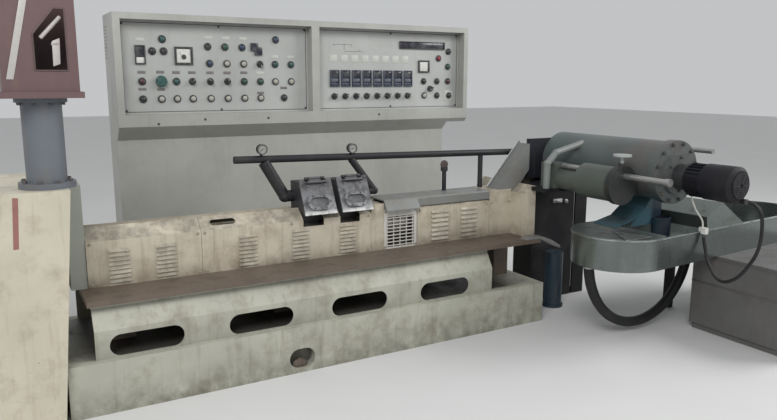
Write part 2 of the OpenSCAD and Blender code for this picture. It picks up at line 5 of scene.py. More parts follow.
import bmesh
import bpy
from mathutils import Matrix, Vector


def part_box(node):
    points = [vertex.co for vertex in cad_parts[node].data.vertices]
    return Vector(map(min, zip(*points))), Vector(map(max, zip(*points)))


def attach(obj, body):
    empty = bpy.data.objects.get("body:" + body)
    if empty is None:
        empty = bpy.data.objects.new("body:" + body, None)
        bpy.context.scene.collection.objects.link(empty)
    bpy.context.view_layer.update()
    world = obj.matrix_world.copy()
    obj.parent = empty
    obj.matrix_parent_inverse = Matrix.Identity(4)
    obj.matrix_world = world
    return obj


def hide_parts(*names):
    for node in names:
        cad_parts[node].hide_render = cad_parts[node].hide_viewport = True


bl_info = {
    "name": "Extruder Line Dressing",
    "version": (1, 0, 0),
    "blender": (4, 5, 0),
    "location": "View3D > Sidebar > Extruder",
    "description": "Adds finishes and small pieces to a packed extruder line",
    "category": "Object",
}

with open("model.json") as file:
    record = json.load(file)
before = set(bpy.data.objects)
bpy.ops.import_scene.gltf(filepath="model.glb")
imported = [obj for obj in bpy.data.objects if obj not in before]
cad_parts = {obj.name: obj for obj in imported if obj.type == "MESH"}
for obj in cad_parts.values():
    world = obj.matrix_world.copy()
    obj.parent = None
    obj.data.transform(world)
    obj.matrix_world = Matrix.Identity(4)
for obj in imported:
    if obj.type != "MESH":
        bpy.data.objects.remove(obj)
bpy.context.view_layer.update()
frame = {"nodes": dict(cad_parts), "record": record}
LINE = "line"

# Front plane of the control panels
PANEL_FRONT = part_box("left_control_panel")[0].y

# Route of the cutter motor's cable, as in the part's source
CABLE_ROUTE = (
    (2.050, -1.492, 0.940), (2.050, -1.507, 0.940), (2.052, -1.540, 0.933), (2.055, -1.567, 0.915),
    (2.058, -1.585, 0.887), (2.062, -1.592, 0.855), (2.070, -1.592, 0.790), (2.077, -1.585, 0.725),
    (2.085, -1.567, 0.660), (2.090, -1.540, 0.605), (2.100, -1.500, 0.545), (2.105, -1.455, 0.490),
    (2.110, -1.400, 0.450), (2.120, -1.345, 0.435), (2.125, -1.295, 0.455), (2.130, -1.255, 0.500),
    (2.135, -1.225, 0.550), (2.140, -1.205, 0.605), (2.140, -1.190, 0.660), (2.140, -1.190, 0.690))
CABLE_WIDTH = 0.020

# Front planes of the console, the covers, the die stand, the plinth, the tower and the hopper
CONSOLE_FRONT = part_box("console_box")[0].y
COVER_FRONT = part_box("end_cover")[0].y
STAND_FRONT = -0.040
PLINTH_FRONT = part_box("plinth")[0].y
TOWER_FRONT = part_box("feed_tower")[0].y
HOPPER_FRONT = -0.430

# Heights of the cover screws, middle of the knob on the thin post, and front of the shelf's grey flap
COVER_SCREWS_UP = (0.570, 0.782)
POST_KNOB = (1.089, 0.060, 1.044)
SHELF_FLAP_FRONT = -0.279

# Vent lids: left edges, foot, slope, width, and how far up the slope the sight glass sits
LID_LEFT = (-0.020, 0.220)
LID_FOOT = (-0.150, 0.826)
LID_SLOPE = math.atan2(0.201, 0.100)
LID_WIDTH = 0.204
SIGHT_UP = 0.074

# Feed cylinder: middle and the heights where its two flanges are bolted; corners of the hopper's window
FEED_CENTRE = (-1.352, -0.290)
FEED_FLANGES = (1.141, 1.500)
HOPPER_WINDOW = ((-1.372, 1.638), (-1.242, 1.638), (-1.242, 1.900), (-1.285, 1.900), (-1.372, 1.790))

# Cutter: axes of the chamber and of the motor, across and up, and the chamber's near flange
CHAMBER_AXIS = (2.000, 1.060)
CHAMBER_NEAR = -1.065
CUTTER_MOTOR_AXIS = (2.000, 1.032)

# Trough: top of its lid, and the corners of the mesh plate on it
TROUGH_LID_TOP = 0.709
MESH_CORNERS = (Vector((1.501, -1.1555)), Vector((1.720, -1.1545)), Vector((1.626, -0.954)))

# Drive motor: height of its axis, fan end, front of the terminal box, feet, and the ribs' ends and circle
DRIVE_AXIS_UP = 0.660
DRIVE_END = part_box("drive_motor")[0].x
DRIVE_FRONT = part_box("drive_motor")[0].y
DRIVE_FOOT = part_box("drive_base")[1].z
DRIVE_RIBS = (-2.390, -1.775)
DRIVE_RADIUS = 0.191

# Drain hose: centre and radius of its arc, width, angle where it leaves the trough, and turn
HOSE_CENTRE = (2.000, -0.850, 0.523)
HOSE_RADIUS = 0.460
HOSE_WIDTH = 0.064
HOSE_START = 181.15
HOSE_TURN = 177.7

# Camera, solved from the photograph's vanishing lines, in metres and degrees
EYE = (-1.60, -3.85, 1.60)
HEADING = 60.013
PITCH = 10.416
ROLL = 0.1265
FOCAL = 32.70


class ExtruderColours(bpy.types.PropertyGroup):
    """Paint colours of the line"""

    bed: bpy.props.FloatVectorProperty(
        name="Bed paint", description="Grey-green enamel of the plinth and the slotted panels",
        subtype="COLOR", size=3, min=0, max=1, default=(0.42, 0.42, 0.35))
    guard: bpy.props.FloatVectorProperty(
        name="Guard paint", description="Cream enamel of the barrel covers",
        subtype="COLOR", size=3, min=0, max=1, default=(0.54, 0.49, 0.39))
    console: bpy.props.FloatVectorProperty(
        name="Console paint", description="Grey-cream enamel of the console",
        subtype="COLOR", size=3, min=0, max=1, default=(0.40, 0.40, 0.37))
    tower: bpy.props.FloatVectorProperty(
        name="Tower paint", description="Cream enamel of the feed tower",
        subtype="COLOR", size=3, min=0, max=1, default=(0.56, 0.52, 0.41))
    chute: bpy.props.FloatVectorProperty(
        name="Chute paint", description="Blue-green enamel of the chute",
        subtype="COLOR", size=3, min=0, max=1, default=(0.055, 0.120, 0.150))


class ExtruderSizes(bpy.types.PropertyGroup):
    """Sizes of the small pieces"""

    bolt: bpy.props.FloatProperty(
        name="Bolt head", description="Width across the flats of a flange bolt",
        subtype="DISTANCE", unit="LENGTH", min=0.008, max=0.04, default=0.019)


def colours():
    return bpy.context.scene.extruder_colours


def sizes():
    return bpy.context.scene.extruder_sizes


# Materials

class Nodes:
    """Adds shader nodes to one material and links them"""

    def __init__(self, name):
        self.material = bpy.data.materials.new(name)
        self.material.use_nodes = True
        self.tree = self.material.node_tree
        self.shader = self.tree.nodes["Principled BSDF"]
        coordinates = self.tree.nodes.new("ShaderNodeTexCoord")
        self.place = coordinates.outputs["Object"]
        self.normal = coordinates.outputs["Normal"]

    def put(self, socket, value):
        """Links an output, or sets a number, a place or a colour"""
        if isinstance(value, bpy.types.NodeSocket):
            self.tree.links.new(value, socket)
        elif isinstance(value, (int, float)):
            socket.default_value = value
        else:
            socket.default_value = (*value[:3], 1.0)[:len(socket.default_value)]

    def add(self, kind, output, inputs, **settings):
        """Makes a node with its settings and inputs, and gives one of its outputs"""
        node = self.tree.nodes.new("ShaderNode" + kind)
        for key, value in settings.items():
            setattr(node, key, value)
        for key, value in inputs.items():
            self.put(node.inputs[key], value)
        return node.outputs[output]

    def noise(self, scale, detail, roughness=0.55, stretch=(1.0, 1.0, 1.0), shift=0.0):
        place = self.add("Mapping", "Vector", {"Vector": self.place, "Scale": stretch,
                                               "Location": (shift, shift * 0.7, shift * 1.3)})
        return self.add("TexNoise", "Fac", {"Vector": place, "Scale": scale, "Detail": detail,
                                            "Roughness": roughness})

    def ramp(self, value, low, high):
        """Black up to low, white from high on"""
        node = self.tree.nodes.new("ShaderNodeValToRGB")
        node.color_ramp.elements[0].position = low
        node.color_ramp.elements[1].position = high
        self.put(node.inputs["Fac"], value)
        return node.outputs["Color"]

    def mix(self, factor, first, second):
        return self.add("Mix", "Result", {"Factor": factor, "A": first, "B": second}, data_type="RGBA")

    def span(self, value, low, high):
        """0 at low, 1 at high, held between"""
        return self.add("MapRange", "Result", {"Value": value, "From Min": low, "From Max": high})

    def math(self, operation, first, second=0.0):
        return self.add("Math", "Value", {0: first, 1: second}, operation=operation)

    def part(self, vector, axis):
        return self.add("SeparateXYZ", axis, {"Vector": vector})

    def along(self, axis, low, high):
        """0 at one place along an axis, 1 at another, held between"""
        return self.span(self.part(self.place, axis), low, high)

    def facing(self, low, high):
        """0 to 1 as a face turns: 1 is one that looks up, -1 one that looks down"""
        return self.span(self.part(self.normal, "Z"), low, high)

    def both(self, first, second):
        return self.math("MULTIPLY", first, second)

    def between(self, mask, low, high):
        """A grey value that goes from low to high with a mask"""
        return self.mix(mask, (low,) * 3, (high,) * 3)

    def stain(self, tone, mask, amount, colour):
        """Mixes a share of a colour into a tone where the mask lets it"""
        return self.mix(self.both(mask, amount), tone, colour)

    def drips(self, low):
        """Mask of marks that run down"""
        return self.ramp(self.noise(9.0, 5.0, 0.6, stretch=(3.2, 3.2, 0.28), shift=7.7), low, low + 0.24)

    def bump(self, value, strength, distance):
        normal = self.add("Bump", "Normal", {"Height": value, "Strength": strength, "Distance": distance})
        self.put(self.shader.inputs["Normal"], normal)

    def chip(self, tone, amount, bare, low=0.68, scale=46.0, shift=1.3, grain=160.0, relief=(0.22, 0.0012)):
        """Small chips in the paint, in its tone and in its relief"""
        chips = self.ramp(self.noise(scale, 6.0, 0.7, shift=shift), low, low + 0.04)
        self.bump(self.math("ADD", self.both(chips, -0.6), self.noise(grain, 3.0)), *relief)
        return self.stain(tone, chips, amount, bare)

    def finish(self, colour, roughness, metallic=0.0, specular=0.5):
        for key, value in (("Base Color", colour), ("Roughness", roughness), ("Metallic", metallic),
                           ("Specular IOR Level", specular)):
            self.put(self.shader.inputs[key], value)
        return self.material


def shade(colour, factor):
    return tuple(min(1.0, c * factor) for c in colour[:3])


def enamel(name, colour, dirt=(0.16, 0.12, 0.08), amount=0.5, wear=0.3, roughness=0.42):
    """Painted steel with blotches, drip marks and small chips"""
    n = Nodes(name)
    tone = n.mix(n.ramp(n.noise(2.3, 6.0), 0.30, 0.72), shade(colour, 0.86), shade(colour, 1.10))
    blotch = n.ramp(n.noise(7.0, 8.0, 0.66, shift=3.1), 0.50, 0.50 + 0.28 / max(amount, 0.1))
    tone = n.stain(tone, blotch, 0.75 * amount, dirt)
    tone = n.stain(tone, n.drips(0.54), 0.5 * amount, shade(dirt, 1.3))
    tone = n.chip(tone, wear, (0.10, 0.075, 0.055))
    return n.finish(tone, n.between(blotch, roughness, min(1.0, roughness + 0.3)))


def bare_steel(name, colour, roughness=0.34, stains=0.4, stretch=(1.0, 1.0, 1.0)):
    """Steel with brushing, heat tint and oily marks"""
    n = Nodes(name)
    brush = n.noise(60.0, 5.0, 0.6, stretch=stretch)
    tone = n.mix(brush, shade(colour, 0.82), shade(colour, 1.12))
    spots = n.ramp(n.noise(8.0, 8.0, 0.68, shift=4.2), 0.52, 0.74)
    tone = n.stain(tone, spots, stains, (0.11, 0.085, 0.065))
    n.bump(brush, 0.10, 0.0008)
    rough = n.between(spots, roughness, min(1.0, roughness + 0.35))
    return n.finish(tone, rough, metallic=0.85)


def filmed(name, colour, film, dust, haze, grain, relief, rough, specular=0.5):
    """One colour under a patchy film of dust; the film has its noise and the two ends of its ramp"""
    n = Nodes(name)
    *noise, low, high = film
    mask = n.ramp(n.noise(*noise), low, high)
    n.bump(n.noise(*grain), *relief)
    return n.finish(n.stain(colour, mask, dust, haze), n.between(mask, *rough), specular=specular)


def dark_iron(name, colour, roughness=0.5, dust=0.45, specular=0.5):
    """Near-black painted or cast iron with dust on it"""
    return filmed(name, colour, (6.0, 8.0, 0.62, (1.0, 1.0, 1.0), 2.2, 0.46, 0.82), dust, (0.22, 0.20, 0.17),
                  (210.0, 4.0), (0.25, 0.001), (roughness, 0.85), specular)


def rubber(name, colour):
    return filmed(name, colour, (12.0, 6.0, 0.6, 0.45, 0.80), 0.16, (0.16, 0.15, 0.13),
                  (300.0, 3.0), (0.2, 0.0006), (0.5, 0.85), 0.35)


def moulded(name, colour, roughness=0.35, dust=0.3):
    """Moulded plastic with a dull film of dust"""
    return filmed(name, colour, (55.0, 5.0, 0.6, 0.45, 0.80), dust, (0.30, 0.29, 0.26),
                  (420.0, 3.0), (0.12, 0.0004), (roughness, 0.75))


def pane(name, colour):
    """Dusty glass in front of a dark or a light back"""
    return filmed(name, colour, (22.0, 6.0, 0.6, 0.40, 0.85), 0.35, (0.34, 0.34, 0.32),
                  (90.0, 2.0), (0.05, 0.0005), (0.10, 0.55), 0.6)


def trough_steel():
    """Dull stainless sheet with fine level brushing, water marks and a rubbed rim"""
    n = Nodes("trough_steel")
    brush = n.noise(240.0, 2.0, 0.5, stretch=(0.05, 0.05, 1.0))
    tone = n.mix(brush, (0.165, 0.190, 0.185), (0.215, 0.240, 0.230))
    marks = n.ramp(n.noise(7.0, 6.0, 0.6, stretch=(1.0, 1.0, 0.35), shift=4.2), 0.48, 0.72)
    tone = n.stain(tone, marks, 0.35, (0.085, 0.090, 0.085))
    rubbed = n.both(n.along("Z", 0.694, 0.700), n.ramp(n.noise(14.0, 4.0), 0.30, 0.55))
    tone = n.stain(tone, rubbed, 0.8, (0.46, 0.50, 0.49))
    n.bump(brush, 0.05, 0.0004)
    return n.finish(tone, n.between(marks, 0.25, 0.48), metallic=0.85)


def lid_steel():
    """Grey lid steel: sooty towards the hinge, rubbed bright at the lower edge"""
    n = Nodes("lid_steel")
    tone = n.mix(n.along("Z", 0.835, 1.000), (0.30, 0.31, 0.32), (0.125, 0.125, 0.13))
    soot = n.ramp(n.noise(16.0, 7.0, 0.68, shift=2.0), 0.44, 0.66)
    tone = n.stain(tone, soot, 0.75, (0.055, 0.05, 0.048))
    rubbed = n.both(n.along("Z", 0.856, 0.838), n.ramp(n.noise(30.0, 4.0), 0.30, 0.55))
    tone = n.mix(rubbed, tone, (0.62, 0.62, 0.60))
    n.bump(n.noise(90.0, 5.0), 0.12, 0.0008)
    return n.finish(tone, n.between(soot, 0.42, 0.75), metallic=0.55)


def guard_enamel(colour):
    """Cream enamel of the covers: smoked above, grimy at the foot, with painted shade near black under the
    louvres and lips
    """
    n = Nodes("guard_enamel")
    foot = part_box("barrel_cover_1")[0].z
    tone = n.mix(n.ramp(n.noise(2.3, 6.0), 0.30, 0.72), shade(colour, 0.84), shade(colour, 1.06))
    blotch = n.ramp(n.noise(6.0, 8.0, 0.66, shift=3.1), 0.46, 0.74)
    tone = n.stain(tone, blotch, 0.58, (0.19, 0.125, 0.075))
    tone = n.stain(tone, n.drips(0.52), 0.45, (0.20, 0.15, 0.10))
    low = n.both(n.along("Z", foot + 0.075, foot), n.ramp(n.noise(8.0, 7.0, 0.66, shift=5.5), 0.30, 0.62))
    tone = n.stain(tone, low, 0.75, (0.11, 0.08, 0.055))
    top = n.both(n.facing(0.15, 0.60), n.ramp(n.noise(13.0, 8.0, 0.70, shift=8.3), 0.38, 0.62))
    tone = n.stain(tone, top, 0.70, (0.145, 0.130, 0.110))
    # Painted shade: faces that look down are darkened to near black, under the louvres and lips
    tone = n.stain(tone, n.facing(-0.10, -0.45), 0.90, (0.030, 0.026, 0.022))
    tone = n.chip(tone, 0.6, (0.10, 0.075, 0.055))
    return n.finish(tone, n.between(blotch, 0.45, 0.75))


def bed_enamel(colour):
    """Grey-green enamel of the welded base, stained outside, and darkened to near black inside and under the
    bed by painted shade with grime
    """
    n = Nodes("bed_enamel")
    tone = n.mix(n.ramp(n.noise(2.3, 6.0), 0.30, 0.72), shade(colour, 0.84), shade(colour, 1.10))
    blotch = n.ramp(n.noise(7.0, 8.0, 0.66, shift=3.1), 0.48, 0.76)
    tone = n.stain(tone, blotch, 0.62, (0.15, 0.115, 0.08))
    tone = n.stain(tone, n.drips(0.52), 0.42, (0.17, 0.14, 0.10))
    foot = n.both(n.along("Z", 0.17, 0.0), n.ramp(n.noise(11.0, 7.0, 0.66, shift=5.5), 0.34, 0.66))
    tone = n.stain(tone, foot, 0.75, (0.085, 0.075, 0.055))
    # Painted shade with grime: inside and under the bed, darkened to near black
    depth = n.math("ABSOLUTE", n.part(n.place, "Y"))
    inside = n.both(n.span(depth, 0.372, 0.335), n.along("Z", 0.40, 0.30))
    shade_and_grime = n.both(inside, n.both(n.along("X", -1.30, -1.20), n.along("X", 1.585, 1.30)))
    tone = n.stain(tone, shade_and_grime, 0.93, (0.020, 0.018, 0.016))
    tone = n.chip(tone, 0.7, (0.08, 0.06, 0.045), low=0.67)
    return n.finish(tone, n.between(blotch, 0.5, 0.8))


def two_tone(name, first, second, axis, low, high):
    """Enamel that changes colour along one axis"""
    n = Nodes(name)
    tone = n.mix(n.along(axis, low, high), first, second)
    tone = n.mix(n.ramp(n.noise(3.0, 6.0), 0.32, 0.72), tone, n.mix(0.35, tone, (0.02, 0.02, 0.02)))
    blotch = n.ramp(n.noise(9.0, 8.0, 0.66, shift=3.1), 0.50, 0.74)
    tone = n.stain(tone, blotch, 0.4, (0.09, 0.075, 0.06))
    tone = n.chip(tone, 0.5, (0.16, 0.15, 0.13), relief=(0.2, 0.001))
    return n.finish(tone, n.between(blotch, 0.38, 0.7))


def drum_enamel():
    """Grey-green drum paint with a painted reddish-brown sheen along the upper near side, and dark with oil
    below
    """
    n = Nodes("chamber_enamel")
    tone = n.mix(n.ramp(n.noise(2.6, 6.0), 0.30, 0.72), (0.070, 0.090, 0.090), (0.105, 0.130, 0.122))
    # Painted sheen: a reddish-brown band of reflected light along the near side
    painted_sheen = n.both(n.along("Y", -0.35, -0.90), n.ramp(n.noise(5.0, 7.0, 0.65), 0.36, 0.62))
    tone = n.stain(tone, painted_sheen, 0.45, (0.115, 0.065, 0.060))
    oil = n.both(n.along("Z", 1.06, 0.90), n.ramp(n.noise(9.0, 6.0), 0.30, 0.60))
    tone = n.stain(tone, oil, 0.8, (0.030, 0.034, 0.036))
    tone = n.mix(n.along("Y", -1.094, -1.098), tone, (0.026, 0.028, 0.029))
    tone = n.chip(tone, 0.6, (0.06, 0.045, 0.04), scale=44.0, shift=5.0, grain=150.0, relief=(0.2, 0.001))
    return n.finish(tone, n.between(oil, 0.42, 0.30))


def finishes():
    """One material per record slot"""
    c = colours()
    return {
        "bed_paint": bed_enamel(c.bed),
        "guard_paint": guard_enamel(c.guard),
        "shelf_steel": enamel("shelf_stained", (0.135, 0.105, 0.080), dirt=(0.05, 0.04, 0.035), amount=0.9,
                              wear=0.5, roughness=0.55),
        "barrel_steel": bare_steel("barrel_steel", (0.30, 0.28, 0.26)),
        "heater_sheet": bare_steel("heater_sheet", (0.36, 0.31, 0.24)),
        "grey_sheet": enamel("grey_sheet", (0.190, 0.196, 0.188), amount=0.9, wear=0.5),
        "grille_paint": enamel("grille_bars", (0.58, 0.56, 0.52), amount=0.4),
        "vent_steel": lid_steel(),
        "vent_iron": dark_iron("vent_iron", (0.030, 0.030, 0.033), dust=0.3),
        "pipe_black": dark_iron("pipe_black", (0.013, 0.013, 0.016), dust=0.14, specular=0.4),
        "console_paint": enamel("console_enamel", c.console, amount=0.35, wear=0.15),
        "panel_paint": enamel("panel_enamel", (0.44, 0.45, 0.43), amount=0.25, wear=0.05, roughness=0.35),
        "tower_paint": enamel("tower_enamel", c.tower, dirt=(0.24, 0.19, 0.12), amount=0.9, wear=0.9),
        "column_paint": enamel("column_enamel", (0.36, 0.38, 0.34), amount=0.4),
        "cylinder_paint": enamel("cylinder_enamel", (0.13, 0.145, 0.165), amount=0.6),
        "hopper_paint": enamel("hopper_primer", (0.14, 0.085, 0.085), amount=0.4),
        "motor_paint": enamel("motor_enamel", (0.16, 0.20, 0.22), amount=0.4),
        "die_steel": enamel("die_slate", (0.013, 0.014, 0.020), amount=0.3),
        "stand_black": dark_iron("stand_black", (0.012, 0.012, 0.014), dust=0.12, specular=0.3),
        "blue_enamel": enamel("blue_enamel", c.chute, amount=0.35),
        "drum_paint": enamel("drum_enamel", (0.085, 0.108, 0.105), dirt=(0.10, 0.06, 0.05), amount=0.7,
                             wear=0.4),
        "motor_black": dark_iron("motor_black", (0.008, 0.008, 0.012), 0.42, 0.07, 0.28),
        "rod_steel": bare_steel("rod_steel", (0.46, 0.46, 0.45), 0.3, 0.15, stretch=(3.0, 0.2, 3.0)),
        "stainless": trough_steel(),
        # Tank paint: its grey is darkened with painted shade
        "tank_paint": enamel("tank_enamel_painted_shade", (0.115, 0.113, 0.111), dirt=(0.07, 0.045, 0.03), amount=0.8,
                             wear=0.5),
        "hose_rubber": rubber("hose_rubber", (0.018, 0.018, 0.02)),
        "cable_rubber": rubber("cable_rubber", (0.020, 0.020, 0.024)),
        "clip_white": moulded("clip_plastic", (0.62, 0.62, 0.58), 0.4),
    }


# Shapes

def add_object(name, data):
    made = bpy.data.objects.new(name, data)
    bpy.context.scene.collection.objects.link(made)
    return made


def square_to(place, towards):
    """Matrix that turns +Z towards a direction and moves it to a place"""
    return Matrix.Translation(place) @ Vector(towards).to_track_quat("Z", "Y").to_matrix().to_4x4()


def to_front(x, y, z):
    """Place with +Z pointing at the operator"""
    return square_to((x, y, z), (0, -1, 0))


def on_panel(x, z):
    """Place on the front of the control panels, with +Z pointing at the operator"""
    return to_front(x, PANEL_FRONT, z)


def about_z(degrees):
    return Matrix.Rotation(math.radians(degrees), 4, "Z")


# Screw head: outline of a low dome on a washer
SCREW = ((0, 0), (0.0085, 0), (0.0085, 0.001), (0.006, 0.001), (0.0055, 0.0035), (0.003, 0.0045), (0, 0.0047))


def hoop(radius, width, depth):
    """Outline of a flat ring, to be turned"""
    return ((radius, 0), (radius + width, 0), (radius + width, depth), (radius, depth), (radius, 0))


def screw_rows(shape, across, front, heights):
    """Screws at every crossing of some places across and some heights"""
    for x in across:
        for z in heights:
            shape.turned(SCREW, to_front(x, front, z), 16)


def end_grille(shape, place, radii, ring, steps, spoke, edge):
    """Rings and six spokes over the end of a motor"""
    for radius in radii:
        shape.turned(hoop(radius, *ring), place, steps)
    for i in range(6):
        shape.box(*spoke, place @ about_z(60.0 * i), edge)


class Shape:
    """One mesh, collected from shapes that bmesh operators make"""

    def __init__(self):
        self.bm = bmesh.new()

    def fresh(self, known):
        return [vert for vert in self.bm.verts if vert not in known]

    def soften(self, edges, offset, segments=2):
        bmesh.ops.bevel(self.bm, geom=edges, offset=offset, segments=segments, profile=0.5, affect="EDGES",
                        material=-1)

    def face_out(self, verts):
        faces = list({face for vert in verts for face in vert.link_faces})
        bmesh.ops.recalc_face_normals(self.bm, faces=faces)

    def settle(self, known, place, merge=False):
        """Cleans and places what was made since the known vertices"""
        if merge:
            bmesh.ops.remove_doubles(self.bm, verts=self.fresh(known), dist=1e-6)
            self.face_out(self.fresh(known))
        bmesh.ops.transform(self.bm, matrix=place, verts=self.fresh(known))

    def box(self, low, high, place=Matrix(), edge=0.0012):
        """Bevelled block from its lowest to its highest corner"""
        known = set(self.bm.verts)
        low, high = Vector(low), Vector(high)
        fit = Matrix.Translation((low + high) / 2) @ Matrix.Diagonal((*(high - low), 1.0))
        verts = bmesh.ops.create_cube(self.bm, size=1.0, matrix=fit)["verts"]
        self.soften(list({link for vert in verts for link in vert.link_edges}), edge)
        self.settle(known, place)

    def turned(self, outline, place, steps=24):
        """Turns an outline of (radius, height) points round the local Z axis"""
        known = set(self.bm.verts)
        verts = [self.bm.verts.new((radius, 0.0, height)) for radius, height in outline]
        edges = [self.bm.edges.new(pair) for pair in zip(verts, verts[1:])]
        bmesh.ops.spin(self.bm, geom=verts + edges, cent=(0, 0, 0), axis=(0, 0, 1), angle=math.tau,
                       steps=steps, use_merge=True)
        self.settle(known, place, merge=True)

    def hexagon(self, width, depth, place):
        """Hexagon head on a thin washer"""
        known = set(self.bm.verts)
        radius = width / math.sqrt(3)
        made = bmesh.ops.create_cone(self.bm, cap_ends=True, segments=6, radius1=radius, radius2=radius,
                                     depth=depth, matrix=Matrix.Translation((0, 0, depth / 2 + 0.002)))
        rim = list({link for vert in made["verts"] for link in vert.link_edges
                    if all(end.co.z > depth / 2 for end in link.verts)})
        self.soften(rim, width * 0.07, 1)
        washer = Matrix.Translation((0, 0, 0.001))
        bmesh.ops.create_cone(self.bm, cap_ends=True, segments=16, radius1=radius * 1.12,
                              radius2=radius * 1.12, depth=0.002, matrix=washer)
        self.settle(known, place)

    def strip(self, outline, depth, place, edge=0.0):
        """Flat plate of a given outline, raised along the local Z axis"""
        known = set(self.bm.verts)
        face = self.bm.faces.new([self.bm.verts.new((x, y, 0.0)) for x, y in outline])
        made = bmesh.ops.extrude_face_region(self.bm, geom=[face])
        top = [item for item in made["geom"] if isinstance(item, bmesh.types.BMVert)]
        bmesh.ops.translate(self.bm, vec=(0, 0, depth), verts=top)
        fresh = self.fresh(known)
        self.face_out(fresh)
        if edge:
            self.soften(list({link for vert in fresh for link in vert.link_edges}), edge)
        self.settle(known, place)

    def rod(self, start, end, width, steps=12):
        """Round rod between two points, with bevelled ends"""
        start, end = Vector(start), Vector(end)
        length = (end - start).length
        radius = width / 2
        bevel = min(radius * 0.3, length * 0.3)
        outline = ((0, 0), (radius - bevel, 0), (radius, bevel), (radius, length - bevel),
                   (radius - bevel, length), (0, length))
        self.turned(outline, square_to(start, end - start), steps)

    def piece(self, name, material, slot, body=LINE):
        """Makes the mesh an object that rides on a body"""
        for face in self.bm.faces:
            face.smooth = True
        mesh = bpy.data.meshes.new(name)
        self.bm.to_mesh(mesh)
        self.bm.free()
        mesh.set_sharp_from_angle(angle=math.radians(35.0))
        mesh.materials.append(material)
        made = add_object(name, mesh)
        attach(made, body)
        return made


class EXTRUDER_OT_finishes(bpy.types.Operator):
    """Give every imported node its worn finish"""

    bl_idname = "extruder.finishes"
    bl_label = "Finishes"

    def execute(self, context):
        by_slot = finishes()
        by_node = {
            "water_arm": enamel("arm_enamel", (0.19, 0.21, 0.20), amount=0.6, wear=0.5),
            "blue_cylinder": enamel("post_enamel", (0.011, 0.029, 0.045), amount=0.5),
            "trough_covers": bare_steel("cover_sheet", (0.22, 0.25, 0.235), 0.40, 0.6),
            "clamp_handwheel": enamel("wheel_enamel", (0.34, 0.36, 0.35), amount=0.6, wear=0.4),
            "clamp_cylinder": two_tone("clamp_enamel", (0.084, 0.100, 0.086), (0.020, 0.023, 0.023),
                                       "Y", -0.88, -0.91),
            "pellet_chute": two_tone("chute_enamel", colours().chute, (0.018, 0.034, 0.056),
                                     "X", 2.02, 2.06),
            "cutter_chamber": drum_enamel()}
        for part in frame["record"]["subparts"]:
            finish = by_node.get(part["node"], by_slot[part["material_slot"]])
            for slot in frame["nodes"][part["node"]].material_slots:
                slot.material = finish
        return {"FINISHED"}


# Cords

def soft_line(name, route, width, material):
    """Round cord whose centreline runs smoothly through a route"""
    curve = bpy.data.curves.new(name, "CURVE")
    curve.dimensions = "3D"
    curve.bevel_depth = width / 2
    curve.bevel_resolution = 5
    curve.resolution_u = 5
    curve.use_fill_caps = True
    spline = curve.splines.new("BEZIER")
    spline.bezier_points.add(len(route) - 1)
    last = len(route) - 1
    for i, (point, place) in enumerate(zip(spline.bezier_points, route)):
        reach = (Vector(route[min(i + 1, last)]) - Vector(route[max(i - 1, 0)])) / 6
        if i in (0, last):
            reach = reach * 2
        point.co = place
        point.handle_left = Vector(place) - reach
        point.handle_right = Vector(place) + reach
    curve.materials.append(material)
    cord = add_object(name, curve)
    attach(cord, LINE)
    return cord


class EXTRUDER_OT_motor_cable(bpy.types.Operator):
    """Hang the cutter motor's cable in its loop, from the gland to the clip"""

    bl_idname = "extruder.motor_cable"
    bl_label = "Motor cable"

    def execute(self, context):
        sheath = rubber("cable_sheath", (0.012, 0.012, 0.014))
        cable = soft_line("cable_loop", CABLE_ROUTE, CABLE_WIDTH, sheath)
        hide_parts("motor_cable")
        nuts = Shape()
        gland = ((0, 0), (0.012, 0), (0.0165, 0.003), (0.0165, 0.012), (0.013, 0.014), (0.0115, 0.022),
                 (0, 0.022))
        nuts.turned(gland, to_front(*CABLE_ROUTE[0]), 6)
        nuts.turned(gland, square_to((2.140, -1.190, 0.692), (0, 0, -1)), 6)
        nuts.piece("cable_glands", moulded("gland_plastic", (0.05, 0.05, 0.055)), "cable_rubber")
        return {"FINISHED"}


class EXTRUDER_OT_drain_hose(bpy.types.Operator):
    """Hang the drain hose in one arc under the trough, with its end clamps"""

    bl_idname = "extruder.drain_hose"
    bl_label = "Drain hose"

    def execute(self, context):
        centre = Vector(HOSE_CENTRE)
        route = []
        for i in range(25):
            turn = math.radians(HOSE_START + HOSE_TURN * i / 24)
            route.append(centre + HOSE_RADIUS * Vector((math.cos(turn), 0.0, math.sin(turn))))
        hose = soft_line("drain_hose_arc", route, HOSE_WIDTH, rubber("hose_wall", (0.012, 0.012, 0.013)))
        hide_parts("drain_hose")
        clamps = Shape()
        for end, inner in ((route[0], route[1]), (route[-1], route[-2])):
            place = square_to(end + (inner - end) * 0.35, inner - end)
            clamps.turned(hoop(HOSE_WIDTH / 2, 0.0025, 0.014), place, 32)
            clamps.box((-0.006, 0.033, 0), (0.006, 0.045, 0.014), place)
        clamps.piece("hose_clamps", bare_steel("clamp_steel", (0.50, 0.50, 0.50)), "rod_steel")
        return {"FINISHED"}


# Console: places of the controls on the panels, across and up, and the turned outlines of the small ones

